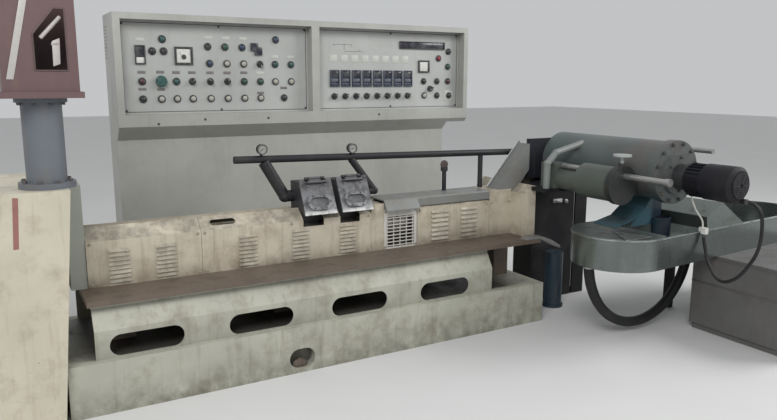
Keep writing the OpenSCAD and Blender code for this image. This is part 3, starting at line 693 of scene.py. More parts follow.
LEFT_COLUMNS = (-0.660, -0.542, -0.440, -0.335, -0.213, -0.094, 0.025, 0.143, 0.255, 0.375)
ROW_HEIGHTS = (1.475, 1.589, 1.709, 1.820)
BEZEL = ((0, 0), (0.024, 0), (0.0255, 0.002), (0.0255, 0.006), (0.022, 0.009), (0.018, 0.009), (0.018, 0.004),
         (0, 0.004))
DOME = ((0, 0.004), (0.0165, 0.004), (0.0165, 0.013), (0.013, 0.017), (0.006, 0.019), (0, 0.0195))
MUSHROOM = ((0, 0.004), (0.016, 0.004), (0.016, 0.016), (0.034, 0.020), (0.038, 0.027), (0.034, 0.034),
            (0.018, 0.038), (0, 0.039))
KNOB = ((0, 0.002), (0.024, 0.002), (0.024, 0.006), (0.019, 0.009), (0.018, 0.024), (0.0165, 0.026),
        (0, 0.026))
ROCKER = (-0.6635, 1.7585)
METER = (-0.385, 1.7565)
METER_WIDTH = 0.120
METER_HEIGHT = 0.117
RECORDER = (1.509, 1.7085)
DISPLAY = (1.4935, 1.870)

# Rows of like pieces: place of the first one and the pitch
CONTROLLERS = (0.7215, 1.6135)
CONTROLLER_PITCH = 0.0913
KNOB_ROW = (0.717, 1.481)
KNOB_PITCH = 0.0915
LABEL_ROW = (0.715, 1.7585)
LABEL_PITCH = 0.0885
LOUVRES_UP = 1.746
LOUVRE_PITCH = 0.022

# Thin lines painted on the right panel: left, right, foot and top of each
DIAGRAM = ((0.710, 0.870, 1.860, 1.862), (0.804, 0.806, 1.821, 1.870), (0.804, 0.965, 1.811, 1.813),
           (0.720, 0.722, 1.846, 1.860), (0.930, 0.932, 1.813, 1.828), (0.862, 0.864, 1.846, 1.862))


def left_lamps():
    """Lamp and button places of the left panel, with the colour of each cap"""
    x = LEFT_COLUMNS
    low, second, third, top = ROW_HEIGHTS
    return [
        *((x[i], low, "pale") for i in range(1, 8)), (x[0], low, "dark"), (0.318, low, "dark"),
        (x[0], second, "plum"), (x[2], second, "teal"), (x[6], second, "green"), (x[7], second, "green"),
        (x[8], second, "pale"), (x[9], second, "pale"),
        (x[4], third, "blue"), (x[5], third, "pale"), (x[6], third, "pale"), (x[8], third, "teal"),
        (x[9], third, "teal"),
        (x[4] - 0.009, top, "dark"), (x[5] - 0.010, top, "green"), (x[6] - 0.008, top, "blue"),
        (-0.587, 1.783, "dark"), (-0.514, 1.784, "dark"), (-0.520, 1.861, "teal"), (0.264, 1.879, "blue")]


def right_lamps():
    """Lamp and button places of the right panel, with the colour of each cap"""
    return [(1.649, 1.774, "red"), (1.743, 1.829, "dark"), (1.739, 1.709, "green"), (1.509, 1.593, "dark"),
            (1.636, 1.593, "dark"), (1.741, 1.593, "plum"), (1.516, 1.481, "pale"), (1.638, 1.480, "dark"),
            (1.754, 1.479, "dark")]


class EXTRUDER_OT_lamps(bpy.types.Operator):
    """Fit the push buttons and signal lamps of both control panels"""

    bl_idname = "extruder.lamps"
    bl_label = "Buttons and lamps"

    def execute(self, context):
        paints = {
            "pale": (0.40, 0.39, 0.34), "dark": (0.030, 0.030, 0.034), "plum": (0.075, 0.026, 0.036),
            "teal": (0.022, 0.080, 0.074), "green": (0.022, 0.078, 0.044), "blue": (0.024, 0.044, 0.092),
            "red": (0.24, 0.030, 0.032)}
        places = left_lamps() + right_lamps()
        bezels = Shape()
        caps = {colour: Shape() for colour in paints}
        for x, z, colour in places:
            bezels.turned(BEZEL, on_panel(x, z))
            caps[colour].turned(DOME, on_panel(x, z))
        bezels.turned(BEZEL, on_panel(LEFT_COLUMNS[1], ROW_HEIGHTS[1]))
        caps["teal"].turned(MUSHROOM, on_panel(LEFT_COLUMNS[1], ROW_HEIGHTS[1]), 36)
        bezels.piece("lamp_bezels", moulded("bezel_plastic", (0.045, 0.045, 0.05), 0.4), "stand_black")
        for colour, shape in caps.items():
            shape.piece("caps_" + colour, moulded("cap_" + colour, paints[colour], 0.25, 0.25), "panel_paint")
        return {"FINISHED"}


class EXTRUDER_OT_knobs(bpy.types.Operator):
    """Fit the selector switches and the row of black knobs"""

    bl_idname = "extruder.knobs"
    bl_label = "Knobs and selectors"

    def execute(self, context):
        knobs = Shape()
        marks = Shape()
        second = ROW_HEIGHTS[1]
        places = [(KNOB_ROW[0] + KNOB_PITCH * i, KNOB_ROW[1], -50.0) for i in range(8)]
        places += [(LEFT_COLUMNS[3], second, -30.0), (LEFT_COLUMNS[4], second, 40.0),
                   (LEFT_COLUMNS[5], second, 0.0), (LEFT_COLUMNS[7], ROW_HEIGHTS[2], 180.0),
                   (1.570, 1.535, 120.0)]
        for x, z, turn in places:
            place = on_panel(x, z) @ about_z(turn)
            knobs.turned(KNOB, place)
            knobs.box((-0.005, -0.020, 0.022), (0.005, 0.024, 0.036), place)
            marks.box((-0.0012, 0.006, 0.035), (0.0012, 0.022, 0.0368), place, edge=0.0003)
            marks.box((-0.0012, 0.027, 0.0), (0.0012, 0.034, 0.0006), on_panel(x, z), edge=0.0002)
        knobs.piece("black_knobs", moulded("knob_plastic", (0.022, 0.022, 0.026), 0.38), "stand_black")
        marks.piece("knob_marks", moulded("mark_paint", (0.62, 0.61, 0.56)), "panel_paint")
        return {"FINISHED"}


class EXTRUDER_OT_instruments(bpy.types.Operator):
    """Fit the square meters, the eight controllers and the wide display"""

    bl_idname = "extruder.instruments"
    bl_label = "Instruments"

    def execute(self, context):
        frames, faces, glass, needles, cases, keys = (Shape() for _ in range(6))
        window(frames, *ROCKER, 0.065, 0.121)
        glass.box((-0.025, -0.012, 0.001), (0.025, 0.052, 0.006), on_panel(*ROCKER))
        faces.box((-0.025, -0.052, 0.001), (0.025, -0.016, 0.006), on_panel(*ROCKER))
        window(frames, *RECORDER, 0.102, 0.095)
        faces.box((-0.040, -0.036, 0.001), (0.040, 0.036, 0.005), on_panel(*RECORDER))
        meter(frames, faces, needles)
        for i in range(8):
            x, z = CONTROLLERS[0] + CONTROLLER_PITCH * i, CONTROLLERS[1]
            window(cases, x, z, 0.076, 0.123)
            place = on_panel(x, z)
            glass.box((-0.030, 0.008, 0.001), (0.030, 0.052, 0.007), place)
            for k in range(3):
                keys.box((-0.026 + 0.019 * k, -0.048, 0.001), (-0.012 + 0.019 * k, -0.036, 0.009), place)
            keys.box((-0.028, -0.026, 0.001), (0.028, -0.004, 0.008), place)
        window(frames, *DISPLAY, 0.421, 0.058)
        glass.box((-0.200, -0.021, 0.001), (0.200, 0.021, 0.006), on_panel(*DISPLAY))
        for x in (0.105, 0.133):
            glass.box((-0.027, -0.027, 0.001), (0.027, 0.027, 0.010 + x * 0.02), on_panel(x, 1.930 - x))
        for x0, x1, z0, z1 in DIAGRAM:
            needles.box((x0, PANEL_FRONT - 0.0008, z0), (x1, PANEL_FRONT, z1), edge=0.0002)
        frames.piece("meter_frames", moulded("frame_plastic", (0.035, 0.035, 0.04)), "stand_black")
        faces.piece("meter_faces", moulded("meter_card", (0.66, 0.66, 0.62), 0.5), "panel_paint")
        needles.piece("meter_needles", moulded("needle_paint", (0.03, 0.03, 0.03)), "stand_black")
        cases.piece("controller_cases", moulded("case_plastic", (0.035, 0.045, 0.075)), "die_steel")
        glass.piece("display_panes", pane("display_glass", (0.020, 0.020, 0.032)), "die_steel")
        keys.piece("controller_keys", moulded("key_plastic", (0.10, 0.11, 0.14)), "grey_sheet")
        return {"FINISHED"}


def window(shape, x, z, width, height):
    """Square frame on a panel: four bars round a thin back plate"""
    bar = min(width, height) * 0.11
    half = width / 2
    rise = height / 2
    place = on_panel(x, z)
    for side in (-1, 1):
        ends = sorted((side * (half - bar), side * half))
        shape.box((ends[0], -rise, 0), (ends[1], rise, 0.012), place)
        ends = sorted((side * (rise - bar), side * rise))
        shape.box((-half + bar, ends[0], 0), (half - bar, ends[1], 0.011), place)
    inset = bar * 0.6
    shape.box((-half + inset, -rise + inset, 0), (half - inset, rise - inset, 0.0015), place, edge=0.0003)


def meter(frames, faces, needles):
    """Square meter with a scale of nine marks, a needle and its hub"""
    x, z = METER
    half = METER_WIDTH * 0.38
    rise = METER_HEIGHT * 0.38
    window(frames, x, z, METER_WIDTH, METER_HEIGHT)
    faces.box((-half, -rise, 0.001), (half, rise, 0.006), on_panel(x, z))
    pivot = on_panel(x, z - METER_HEIGHT * 0.12)
    for i in range(9):
        needles.box((-0.0006, METER_HEIGHT * 0.36, 0.006), (0.0006, METER_HEIGHT * 0.42, 0.0066),
                    pivot @ about_z(60.0 - 15.0 * i), edge=0.0001)
    needles.box((-0.0009, 0, 0.0068), (0.0009, rise, 0.0076), pivot @ about_z(38.0), edge=0.0002)
    hub = METER_WIDTH * 0.13
    needles.turned(((0, 0.006), (hub, 0.006), (hub, 0.012), (METER_WIDTH * 0.10, 0.014), (0, 0.014)),
                   on_panel(x, z - METER_HEIGHT * 0.06))


class EXTRUDER_OT_label_plates(bpy.types.Operator):
    """Fix the blank label plates above the buttons"""

    bl_idname = "extruder.label_plates"
    bl_label = "Blank label plates"

    def execute(self, context):
        dark = Shape()
        light = Shape()
        x = LEFT_COLUMNS
        for place in ((x[1], 1.650), (x[2], 1.648), (x[3], 1.648), (x[4], 1.648), (x[5], 1.648),
                      (x[6], 1.650), (x[0], 1.648), (x[0], 1.540), (x[1], 1.538), (0.318, 1.545),
                      (x[7], 1.510)):
            plate(dark, *place, 0.050, 0.018)
        for place in ((x[7], 1.648), (x[8], 1.762), (x[9], 1.762), (x[4], 1.880), (x[5], 1.880),
                      (x[6], 1.880), (x[0], 1.855)):
            plate(light, *place, 0.054, 0.020)
        for i in range(8):
            plate(light, LABEL_ROW[0] + LABEL_PITCH * i, LABEL_ROW[1], 0.058, 0.052)
        plate(light, 1.754, 1.479, 0.084, 0.084)
        dark.piece("dark_plates", moulded("dark_laminate", (0.17, 0.15, 0.155), 0.4), "grey_sheet")
        light.piece("light_plates", moulded("light_laminate", (0.52, 0.53, 0.49), 0.4), "panel_paint")
        return {"FINISHED"}


def plate(shape, x, z, width, height):
    shape.box((-width / 2, -height / 2, 0), (width / 2, height / 2, 0.0016), on_panel(x, z), edge=0.0005)


class EXTRUDER_OT_console_trim(bpy.types.Operator):
    """Fit the console's side louvres, rail screws and the outline of each panel"""

    bl_idname = "extruder.console_trim"
    bl_label = "Console trim"

    def execute(self, context):
        lines = Shape()
        screws = Shape()
        for x, z in ((-0.587, 1.316), (-0.281, 1.339), (0.165, 1.338), (1.057, 1.344)):
            screws.turned(SCREW, to_front(x, CONSOLE_FRONT, z), 16)
        for name in ("left_control_panel", "right_control_panel"):
            low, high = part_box(name)
            a, b = low.x + 0.012, high.x - 0.012
            c, d = low.z + 0.012, high.z - 0.012
            for x0, x1, z0, z1 in ((a, b, c, c + 0.004), (a, b, d - 0.004, d),
                                   (a, a + 0.004, c + 0.004, d - 0.004),
                                   (b - 0.004, b, c + 0.004, d - 0.004)):
                lines.box((x0, PANEL_FRONT - 0.0012, z0), (x1, PANEL_FRONT, z1), edge=0.0003)
            screw_rows(screws, (low.x + 0.022, (low.x + high.x) / 2, high.x - 0.022), PANEL_FRONT,
                       (low.z + 0.022, high.z - 0.022))
        lines.piece("panel_outlines", moulded("outline_paint", (0.05, 0.05, 0.05), 0.5), "stand_black")
        screws.piece("console_screws", dark_iron("screw_black", (0.06, 0.06, 0.06)), "stand_black")
        louvres = Shape()
        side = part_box("console_box")[0].x
        for i in range(10):
            up = LOUVRES_UP + LOUVRE_PITCH * i
            louvres.rod((side, 1.150, up), (side, 1.215, up), 0.011)
        louvres.piece("side_louvres", enamel("louvre_enamel", colours().console, amount=0.35),
                      "console_paint")
        return {"FINISHED"}


# Line

GAUGE_FRONT = 0.036

# Gauges: place across and up, and the turn of the needle
GAUGES = ((-0.198, 1.206, 130.0), (0.386, 1.186, 105.0))


class EXTRUDER_OT_gauges(bpy.types.Operator):
    """Fit the bezel, dial, marks and needle of both vacuum gauges"""

    bl_idname = "extruder.gauges"
    bl_label = "Vacuum gauges"

    def execute(self, context):
        rims, dials, marks = Shape(), Shape(), Shape()
        rim = ((0.0255, 0), (0.0305, 0), (0.0305, 0.006), (0.029, 0.008), (0.0265, 0.008),
               (0.0255, 0.006), (0.0255, 0))
        for x, z, lean in GAUGES:
            face = to_front(x, GAUGE_FRONT, z)
            rims.turned(rim, face, 40)
            dials.turned(((0, 0), (0.0258, 0), (0.0258, 0.0015), (0, 0.0015)), face, 40)
            for i in range(11):
                turn = face @ about_z(135.0 - 27.0 * i)
                marks.box((-0.0006, 0.019, 0.0014), (0.0006, 0.024, 0.0020), turn, edge=0.0001)
            turn = face @ about_z(lean)
            marks.box((-0.0009, -0.006, 0.0030), (0.0009, 0.020, 0.0038), turn, edge=0.0002)
            marks.turned(((0, 0.0014), (0.003, 0.0014), (0.003, 0.005), (0, 0.0055)), face, 16)
        rims.piece("gauge_rims", bare_steel("gauge_rim", (0.20, 0.20, 0.20), 0.35, 0.3), "pipe_black")
        dials.piece("gauge_dials", moulded("dial_card", (0.30, 0.30, 0.28), 0.5), "panel_paint")
        marks.piece("gauge_marks", moulded("dial_ink", (0.03, 0.03, 0.03)), "pipe_black")
        return {"FINISHED"}


def obround(width, height):
    """Outline of a slot with round ends"""
    steps = 8
    radius = height / 2
    reach = width / 2 - radius
    points = []
    for side in (1, -1):
        for i in range(steps + 1):
            turn = math.radians(-90.0 + 180.0 * i / steps)
            points.append((side * (reach + radius * math.cos(turn)), side * radius * math.sin(turn)))
    return points


class EXTRUDER_OT_lid_trim(bpy.types.Operator):
    """Fit each vent lid's glass, the screws of its ring and its pull bar"""

    bl_idname = "extruder.lid_trim"
    bl_label = "Vent lid trim"

    def execute(self, context):
        glass = pane("vent_glass", (0.10, 0.105, 0.11))
        steel = bare_steel("lid_screws", (0.20, 0.20, 0.21), 0.4, 0.6)
        for number, x in enumerate(LID_LEFT, 1):
            body = "vent_lid_%d" % number
            lid = Matrix.Translation((x, *LID_FOOT)) @ Matrix.Rotation(LID_SLOPE, 4, "X")
            middle = lid @ Matrix.Translation((LID_WIDTH / 2, SIGHT_UP, 0.0))
            panes = Shape()
            panes.strip(obround(0.1116, 0.0496), 0.004, middle @ Matrix.Translation((0, 0, 0.0055)))
            panes.piece("vent_glass_%d" % number, glass, "vent_steel", body)
            screws = Shape()
            for u, v in ((-0.069, 0), (0.069, 0), (-0.036, 0.038), (0.036, 0.038), (-0.036, -0.038),
                         (0.036, -0.038)):
                screws.hexagon(0.010, 0.005, middle @ Matrix.Translation((u, v, 0.025)))
            for u in (0.046, 0.158):
                screws.hexagon(0.010, 0.005, lid @ Matrix.Translation((u, 0.178, 0.013)))
            screws.piece("lid_screws_%d" % number, steel, "vent_steel", body)
            bars = Shape()
            bars.rod((0.044, 0.195, 0.031), (0.162, 0.195, 0.031), 0.012)
            for u in (0.052, 0.154):
                bars.rod((u, 0.195, 0.026), (u, 0.195, 0.033), 0.010)
            bmesh.ops.transform(bars.bm, matrix=lid, verts=bars.bm.verts)
            bars.piece("lid_bar_%d" % number, steel, "vent_steel", body)
        return {"FINISHED"}


def ring_of_bolts(shape, place, radius, count, width, depth, first):
    """Hexagon heads on a circle, from a first angle"""
    for i in range(count):
        turn = about_z(first + 360.0 * i / count)
        shape.hexagon(width, depth, place @ turn @ Matrix.Translation((radius, 0, 0)))


class EXTRUDER_OT_flange_bolts(bpy.types.Operator):
    """Bolt the feed cylinder's flanges and the cutter chamber's near flange"""

    bl_idname = "extruder.flange_bolts"
    bl_label = "Flange bolts"

    def execute(self, context):
        width = sizes().bolt
        low, high = FEED_FLANGES
        feed = Shape()
        ring_of_bolts(feed, Matrix.Translation((*FEED_CENTRE, low)), 0.1035, 8, width * 0.9, 0.011, 22.5)
        ring_of_bolts(feed, square_to((*FEED_CENTRE, high), (0, 0, -1)), 0.0975, 8, width * 0.72, 0.010,
                      22.5)
        feed.piece("feed_bolts", dark_iron("feed_bolt_iron", (0.09, 0.08, 0.08)), "cylinder_paint")
        drum = Shape()
        face = to_front(CHAMBER_AXIS[0], CHAMBER_NEAR, CHAMBER_AXIS[1])
        ring_of_bolts(drum, face, 0.172, 12, width, 0.013, 15.0)
        ring = to_front(CHAMBER_AXIS[0], CHAMBER_NEAR - 0.030, CHAMBER_AXIS[1] - 0.008)
        ring_of_bolts(drum, ring, 0.101, 6, width * 0.8, 0.010, 30.0)
        drum.piece("chamber_bolts", dark_iron("chamber_bolt_iron", (0.045, 0.05, 0.05)), "drum_paint")
        return {"FINISHED"}


class EXTRUDER_OT_hopper_trim(bpy.types.Operator):
    """Fit the hopper's strip, the bar and plate in its window, the window's edge and the tower's red mark"""

    bl_idname = "extruder.hopper_trim"
    bl_label = "Hopper trim"

    def execute(self, context):
        strip = Shape()
        front = to_front(0, HOPPER_FRONT, 0)
        strip.strip(((-1.486, 1.600), (-1.458, 1.600), (-1.376, 1.960), (-1.404, 1.960)), 0.003, front,
                    0.0008)
        strip.piece("hopper_strip", moulded("strip_white", (0.46, 0.44, 0.42)), "hopper_paint")
        tape = Shape()
        tape.strip(((-1.520, 0.870), (-1.498, 0.872), (-1.484, 1.096), (-1.506, 1.098)), 0.001,
                   to_front(0, TOWER_FRONT, 0))
        tape.piece("tower_mark", enamel("mark_red", (0.30, 0.135, 0.115), amount=1.3, wear=1.0),
                   "tower_paint")
        bar = Shape()
        bar.rod((-1.342, -0.404, 1.775), (-1.256, -0.404, 1.868), 0.018)
        bar.strip(((-1.299, 1.656), (-1.270, 1.667), (-1.266, 1.777), (-1.297, 1.763)), 0.003,
                  to_front(0, HOPPER_FRONT + 0.016, 0), 0.0008)
        bar.box((-1.300, -0.417, 1.745), (-1.266, -0.398, 1.757))
        bar.piece("hopper_bar", moulded("bar_pale", (0.50, 0.46, 0.44)), "hopper_paint")
        edge = Shape()
        for a, b in zip(HOPPER_WINDOW, HOPPER_WINDOW[1:] + HOPPER_WINDOW[:1]):
            edge.rod((a[0], HOPPER_FRONT, a[1]), (b[0], HOPPER_FRONT, b[1]), 0.007)
        edge.piece("window_edge", enamel("window_edge_paint", (0.10, 0.065, 0.065)), "hopper_paint")
        return {"FINISHED"}


class EXTRUDER_OT_cover_screws(bpy.types.Operator):
    """Screw the barrel covers down, fit the small trim of the guard's right end and a painted highlight along
    the hood's edge
    """

    bl_idname = "extruder.cover_screws"
    bl_label = "Cover screws"

    def execute(self, context):
        screws = Shape()
        for name in ("barrel_cover_1", "barrel_cover_2", "barrel_cover_3", "end_cover"):
            low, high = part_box(name)
            gaps = max(1, round((high.x - low.x) / 0.5))
            across = [low.x + 0.018 + (high.x - low.x - 0.036) * i / gaps for i in range(gaps + 1)]
            screw_rows(screws, across, COVER_FRONT, COVER_SCREWS_UP)
        low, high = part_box("blower_grille")
        screw_rows(screws, (low.x + 0.010, high.x - 0.010), low.y, (low.z + 0.012, high.z - 0.014))
        screws.piece("cover_screws", enamel("screw_enamel", shade(colours().guard, 0.62), amount=0.9),
                     "guard_paint")
        knob = Shape()
        knob.turned(((0, -0.009), (0.023, -0.009), (0.028, -0.005), (0.028, 0.005), (0.023, 0.009),
                     (0.008, 0.009), (0.008, 0.013), (0, 0.013)), to_front(*POST_KNOB), 32)
        knob.piece("post_knob", dark_iron("post_knob_iron", (0.05, 0.032, 0.030)), "pipe_black")
        # Bright rod along the hood's far edge: a painted highlight of the rim
        edge = Shape()
        edge.rod((1.412, 0.0025, 0.880), (1.677, 0.0025, 1.183), 0.007)
        edge.piece("hood_edge_highlight", bare_steel("painted_edge_highlight", (0.66, 0.66, 0.66), 0.25, 0.1), "rod_steel")
        flap = Shape()
        flap.strip(((1.480, 0.5560), (1.500, 0.5680), (1.560, 0.5760), (1.625, 0.5660), (1.700, 0.5350),
                    (1.770, 0.4950), (1.782, 0.4800), (1.772, 0.4720), (1.690, 0.5080), (1.640, 0.5330),
                    (1.602, 0.5500), (1.598, 0.5560)), 0.075, to_front(0, SHELF_FLAP_FRONT, 0), 0.003)
        flap.piece("shelf_flap", enamel("flap_grey", (0.20, 0.20, 0.195), amount=0.7, wear=0.4), "grey_sheet")
        return {"FINISHED"}


class EXTRUDER_OT_stand_trim(bpy.types.Operator):
    """Fit the two latches of the die stand and a painted highlight along its edge"""

    bl_idname = "extruder.stand_trim"
    bl_label = "Die stand trim"

    def execute(self, context):
        latches = Shape()
        for x, z, width in ((2.028, 0.733, 0.090), (2.112, 0.724, 0.030)):
            latches.box((x - width / 2, STAND_FRONT - 0.010, z - 0.014),
                        (x + width / 2, STAND_FRONT, z + 0.014), edge=0.003)
            latches.box((x - width / 4, STAND_FRONT - 0.022, z - 0.006),
                        (x + width / 4, STAND_FRONT - 0.008, z + 0.006), edge=0.002)
        # Thin bright strip down the stand's right edge: a painted highlight
        latches.box((2.196, STAND_FRONT - 0.0015, 0.060), (2.200, STAND_FRONT, 0.900), edge=0.0005)
        latches.piece("stand_latches_and_highlight", bare_steel("latch_steel_and_highlight", (0.60, 0.60, 0.60), 0.3), "rod_steel")
        return {"FINISHED"}


class EXTRUDER_OT_motor_trim(bpy.types.Operator):
    """Fit the cutter motor's end grille"""

    bl_idname = "extruder.motor_trim"
    bl_label = "Cutter motor trim"

    def execute(self, context):
        end = to_front(CUTTER_MOTOR_AXIS[0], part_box("cutter_motor")[0].y, CUTTER_MOTOR_AXIS[1])
        grille = Shape()
        end_grille(grille, end, (0.018, 0.030, 0.042, 0.054, 0.066), (0.004, 0.003), 40,
                   ((0.010, -0.002, 0), (0.074, 0.002, 0.0034)), 0.0008)
        grille.piece("motor_grille", dark_iron("grille_iron", (0.02, 0.02, 0.028), dust=0.2), "motor_black")
        return {"FINISHED"}


class EXTRUDER_OT_trough_trim(bpy.types.Operator):
    """Fit the mesh plate on the trough's lid and the seams of the tank"""

    bl_idname = "extruder.trough_trim"
    bl_label = "Trough and tank trim"

    def execute(self, context):
        left, right, tip = MESH_CORNERS
        mesh = Shape()
        low = TROUGH_LID_TOP + 0.002
        high = TROUGH_LID_TOP + 0.003
        for start, end in ((left, right), (right, tip), (tip, left)):
            mesh.rod((*start, low), (*end, low), 0.006)
        for i in range(1, 14):
            mesh.rod((*left.lerp(tip, i / 14), low), (*right.lerp(tip, i / 14), low), 0.0035, 8)
        for i in range(1, 16):
            foot = left.lerp(right, i / 16)
            side, share = (left, i / 9) if i < 9 else (right, (16 - i) / 8)
            mesh.rod((*foot, high), (*side.lerp(tip, share * 0.98), high), 0.0035, 8)
        mesh.piece("mesh_plate", bare_steel("mesh_wire", (0.27, 0.29, 0.28)), "stainless")
        seams = Shape()
        low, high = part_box("water_tank")
        for z in (0.318, 0.490):
            seams.box((low.x - 0.003, low.y, z), (low.x, high.y, z + 0.012))
            seams.box((low.x, low.y - 0.003, z), (high.x, low.y, z + 0.012))
        seams.piece("tank_seams", enamel("tank_seam_enamel", (0.095, 0.093, 0.091), amount=0.6), "tank_paint")
        return {"FINISHED"}


class EXTRUDER_OT_plinth_trim(bpy.types.Operator):
    """Fit the rusty bent flap in the plinth's hole"""

    bl_idname = "extruder.plinth_trim"
    bl_label = "Plinth hole trim"

    def execute(self, context):
        flap = Shape()
        lean = Matrix.Rotation(math.radians(-24.0), 4, "X") @ Matrix.Translation((0, 0, -0.036))
        flap.strip(((-0.045, -0.052), (0.030, -0.060), (0.050, -0.020), (0.012, 0.004), (-0.030, -0.012)),
                   0.004, to_front(-0.174, PLINTH_FRONT, 0.086) @ lean, 0.001)
        flap.piece("plinth_flap", enamel("plinth_rust", (0.050, 0.034, 0.026), amount=0.9), "bed_paint")
        return {"FINISHED"}


class EXTRUDER_OT_rear_doors(bpy.types.Operator):
    """Fit the console's rear doors: raised leaves, hinges and turn locks"""

    bl_idname = "extruder.rear_doors"
    bl_label = "Rear doors"

    def execute(self, context):
        low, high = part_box("console_box")
        back = high.y
        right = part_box("console_cabinet")[1].x
        leaves = Shape()
        iron = Shape()
        width = (right - low.x - 0.08) / 4
        for i in range(4):
            x = low.x + 0.04 + width * i
            leaves.box((x + 0.008, back, 0.12), (x + width - 0.008, back + 0.004, 1.90), edge=0.002)
            hinge = x + 0.008 if i % 2 == 0 else x + width - 0.008
            lock = x + width - 0.050 if i % 2 == 0 else x + 0.050
            for z in (0.28, 1.00, 1.74):
                iron.rod((hinge, back + 0.005, z - 0.040), (hinge, back + 0.005, z + 0.040), 0.012)
            for z in (0.55, 1.45):
                iron.turned(KNOB, square_to((lock, back + 0.003, z), (0, 1, 0)), 20)
        paint = enamel("door_enamel", colours().console, amount=0.35, wear=0.2)
        leaves.piece("rear_door_leaves", paint, "console_paint")
        iron.piece("rear_door_iron", dark_iron("door_iron", (0.05, 0.05, 0.05)), "stand_black")
        return {"FINISHED"}


class EXTRUDER_OT_drive_trim(bpy.types.Operator):
    """Fit the drive motor's cooling ribs, fan grille, foot bolts and terminal box screws"""

    bl_idname = "extruder.drive_trim"
    bl_label = "Drive motor trim"

    def execute(self, context):
        ribs = Shape()
        start, end = DRIVE_RIBS
        for i in range(36):
            turn = math.radians(10.0 * i)
            out = Vector((0, math.cos(turn), math.sin(turn)))
            if out.z < -0.45 or (out.y < -0.4 and abs(out.z) < 0.62):
                continue
            middle = Vector((0, 0, DRIVE_AXIS_UP)) + out * DRIVE_RADIUS
            ribs.rod((start, *middle.yz), (end, *middle.yz), 0.009, 8)
        ribs.piece("drive_ribs", enamel("rib_enamel", (0.15, 0.19, 0.21), amount=0.4), "motor_paint")
        grille = Shape()
        end_grille(grille, square_to((DRIVE_END, 0, DRIVE_AXIS_UP), (-1, 0, 0)),
                   (0.045, 0.075, 0.105, 0.135, 0.165), (0.007, 0.004), 48,
                   ((0.030, -0.003, 0), (0.180, 0.003, 0.0045)), 0.0012)
        for x in (-2.285, -1.915):
            for side in (-1, 1):
                grille.hexagon(0.024, 0.014, Matrix.Translation((x, side * 0.215, DRIVE_FOOT)))
        for x in (-2.205, -2.035):
            for z in (0.635, 0.765):
                grille.hexagon(0.010, 0.005, to_front(x, DRIVE_FRONT, z))
        grille.piece("drive_iron", dark_iron("drive_iron", (0.05, 0.055, 0.06)), "motor_paint")
        return {"FINISHED"}


class EXTRUDER_OT_stage(bpy.types.Operator):
    """Set the floor, the lamps and the camera"""

    bl_idname = "extruder.stage"
    bl_label = "Stage"

    def execute(self, context):
        place_floor()
        place_lamps()
        place_camera()
        return {"FINISHED"}


def place_floor():
    bm = bmesh.new()
    bmesh.ops.create_grid(bm, x_segments=1, y_segments=1, size=30.0)
    mesh = bpy.data.meshes.new("floor")
    bm.to_mesh(mesh)
    bm.free()
    floor = add_object("floor", mesh)
    n = Nodes("floor_pale")
    tone = n.mix(n.noise(1.2, 3.0), (0.60, 0.60, 0.59), (0.66, 0.66, 0.65))
    mesh.materials.append(n.finish(tone, 0.8))


def place_lamps():
    scene = bpy.context.scene
    scene.view_settings.view_transform = "Standard"
    world = bpy.data.worlds.new("studio")
    world.use_nodes = True
    background = world.node_tree.nodes["Background"]
    background.inputs["Color"].default_value = (0.96, 0.98, 1.0, 1.0)
    background.inputs["Strength"].default_value = 0.56
    scene.world = world
    for name, place, target, power, size in (
            ("key_lamp", (-3.5, -5.0, 5.5), (0.4, 0.0, 0.8), 290.0, 3.0),
            ("right_lamp", (6.0, -3.0, 4.5), (1.5, -0.3, 0.9), 230.0, 3.0)):
        light = bpy.data.lights.new(name, "AREA")
        light.energy = power
        light.size = size
        lamp = add_object(name, light)
        lamp.location = place
        lamp.rotation_euler = (Vector(target) - Vector(place)).to_track_quat("-Z", "Y").to_euler()


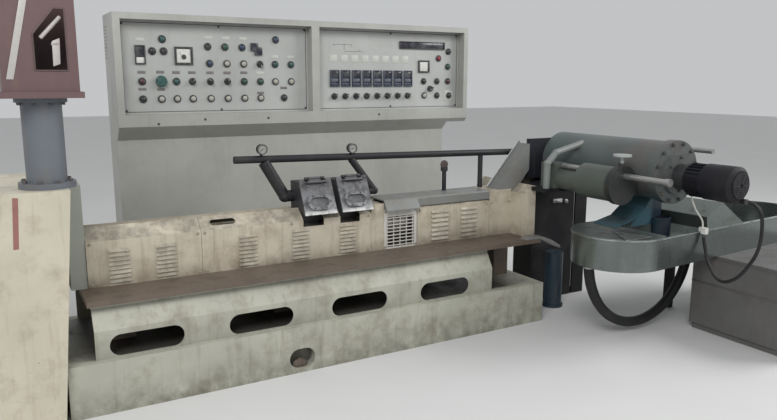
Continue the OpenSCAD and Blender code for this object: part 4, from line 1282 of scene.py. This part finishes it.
def place_camera():
    data = bpy.data.cameras.new("camera")
    data.lens = FOCAL
    data.sensor_width = 36.0
    data.clip_end = 100.0
    camera = add_object("camera", data)
    turn = about_z(HEADING - 90.0)
    tilt = Matrix.Rotation(math.radians(90.0 - PITCH), 4, "X")
    roll = about_z(ROLL)
    camera.matrix_world = Matrix.Translation(EYE) @ turn @ tilt @ roll
    bpy.context.scene.camera = camera


class EXTRUDER_PT_panel(bpy.types.Panel):
    """Sidebar panel with the sizes, the colours and the steps"""

    bl_label = "Extruder Line"
    bl_idname = "EXTRUDER_PT_panel"
    bl_space_type = "VIEW_3D"
    bl_region_type = "UI"
    bl_category = "Extruder"

    def draw(self, context):
        layout = self.layout
        for group in (context.scene.extruder_colours, context.scene.extruder_sizes):
            for key in group.bl_rna.properties.keys():
                if key not in {"rna_type", "name"}:
                    layout.prop(group, key)
        for step in STEPS:
            layout.operator(step.bl_idname)


STEPS = (EXTRUDER_OT_stage, EXTRUDER_OT_motor_cable, EXTRUDER_OT_drain_hose, EXTRUDER_OT_finishes,
         EXTRUDER_OT_lamps, EXTRUDER_OT_knobs, EXTRUDER_OT_instruments, EXTRUDER_OT_label_plates,
         EXTRUDER_OT_console_trim, EXTRUDER_OT_gauges, EXTRUDER_OT_lid_trim, EXTRUDER_OT_flange_bolts,
         EXTRUDER_OT_hopper_trim, EXTRUDER_OT_cover_screws, EXTRUDER_OT_stand_trim, EXTRUDER_OT_motor_trim,
         EXTRUDER_OT_trough_trim, EXTRUDER_OT_plinth_trim, EXTRUDER_OT_rear_doors, EXTRUDER_OT_drive_trim)
CLASSES = (ExtruderColours, ExtruderSizes, *STEPS, EXTRUDER_PT_panel)


def register():
    for item in CLASSES:
        bpy.utils.register_class(item)
    bpy.types.Scene.extruder_colours = bpy.props.PointerProperty(type=ExtruderColours)
    bpy.types.Scene.extruder_sizes = bpy.props.PointerProperty(type=ExtruderSizes)


def unregister():
    del bpy.types.Scene.extruder_sizes
    del bpy.types.Scene.extruder_colours
    for item in reversed(CLASSES):
        bpy.utils.unregister_class(item)


def main():
    register()
    for step in STEPS:
        group, name = step.bl_idname.split(".")
        getattr(getattr(bpy.ops, group), name)()


if __name__ == "__main__":
    main()
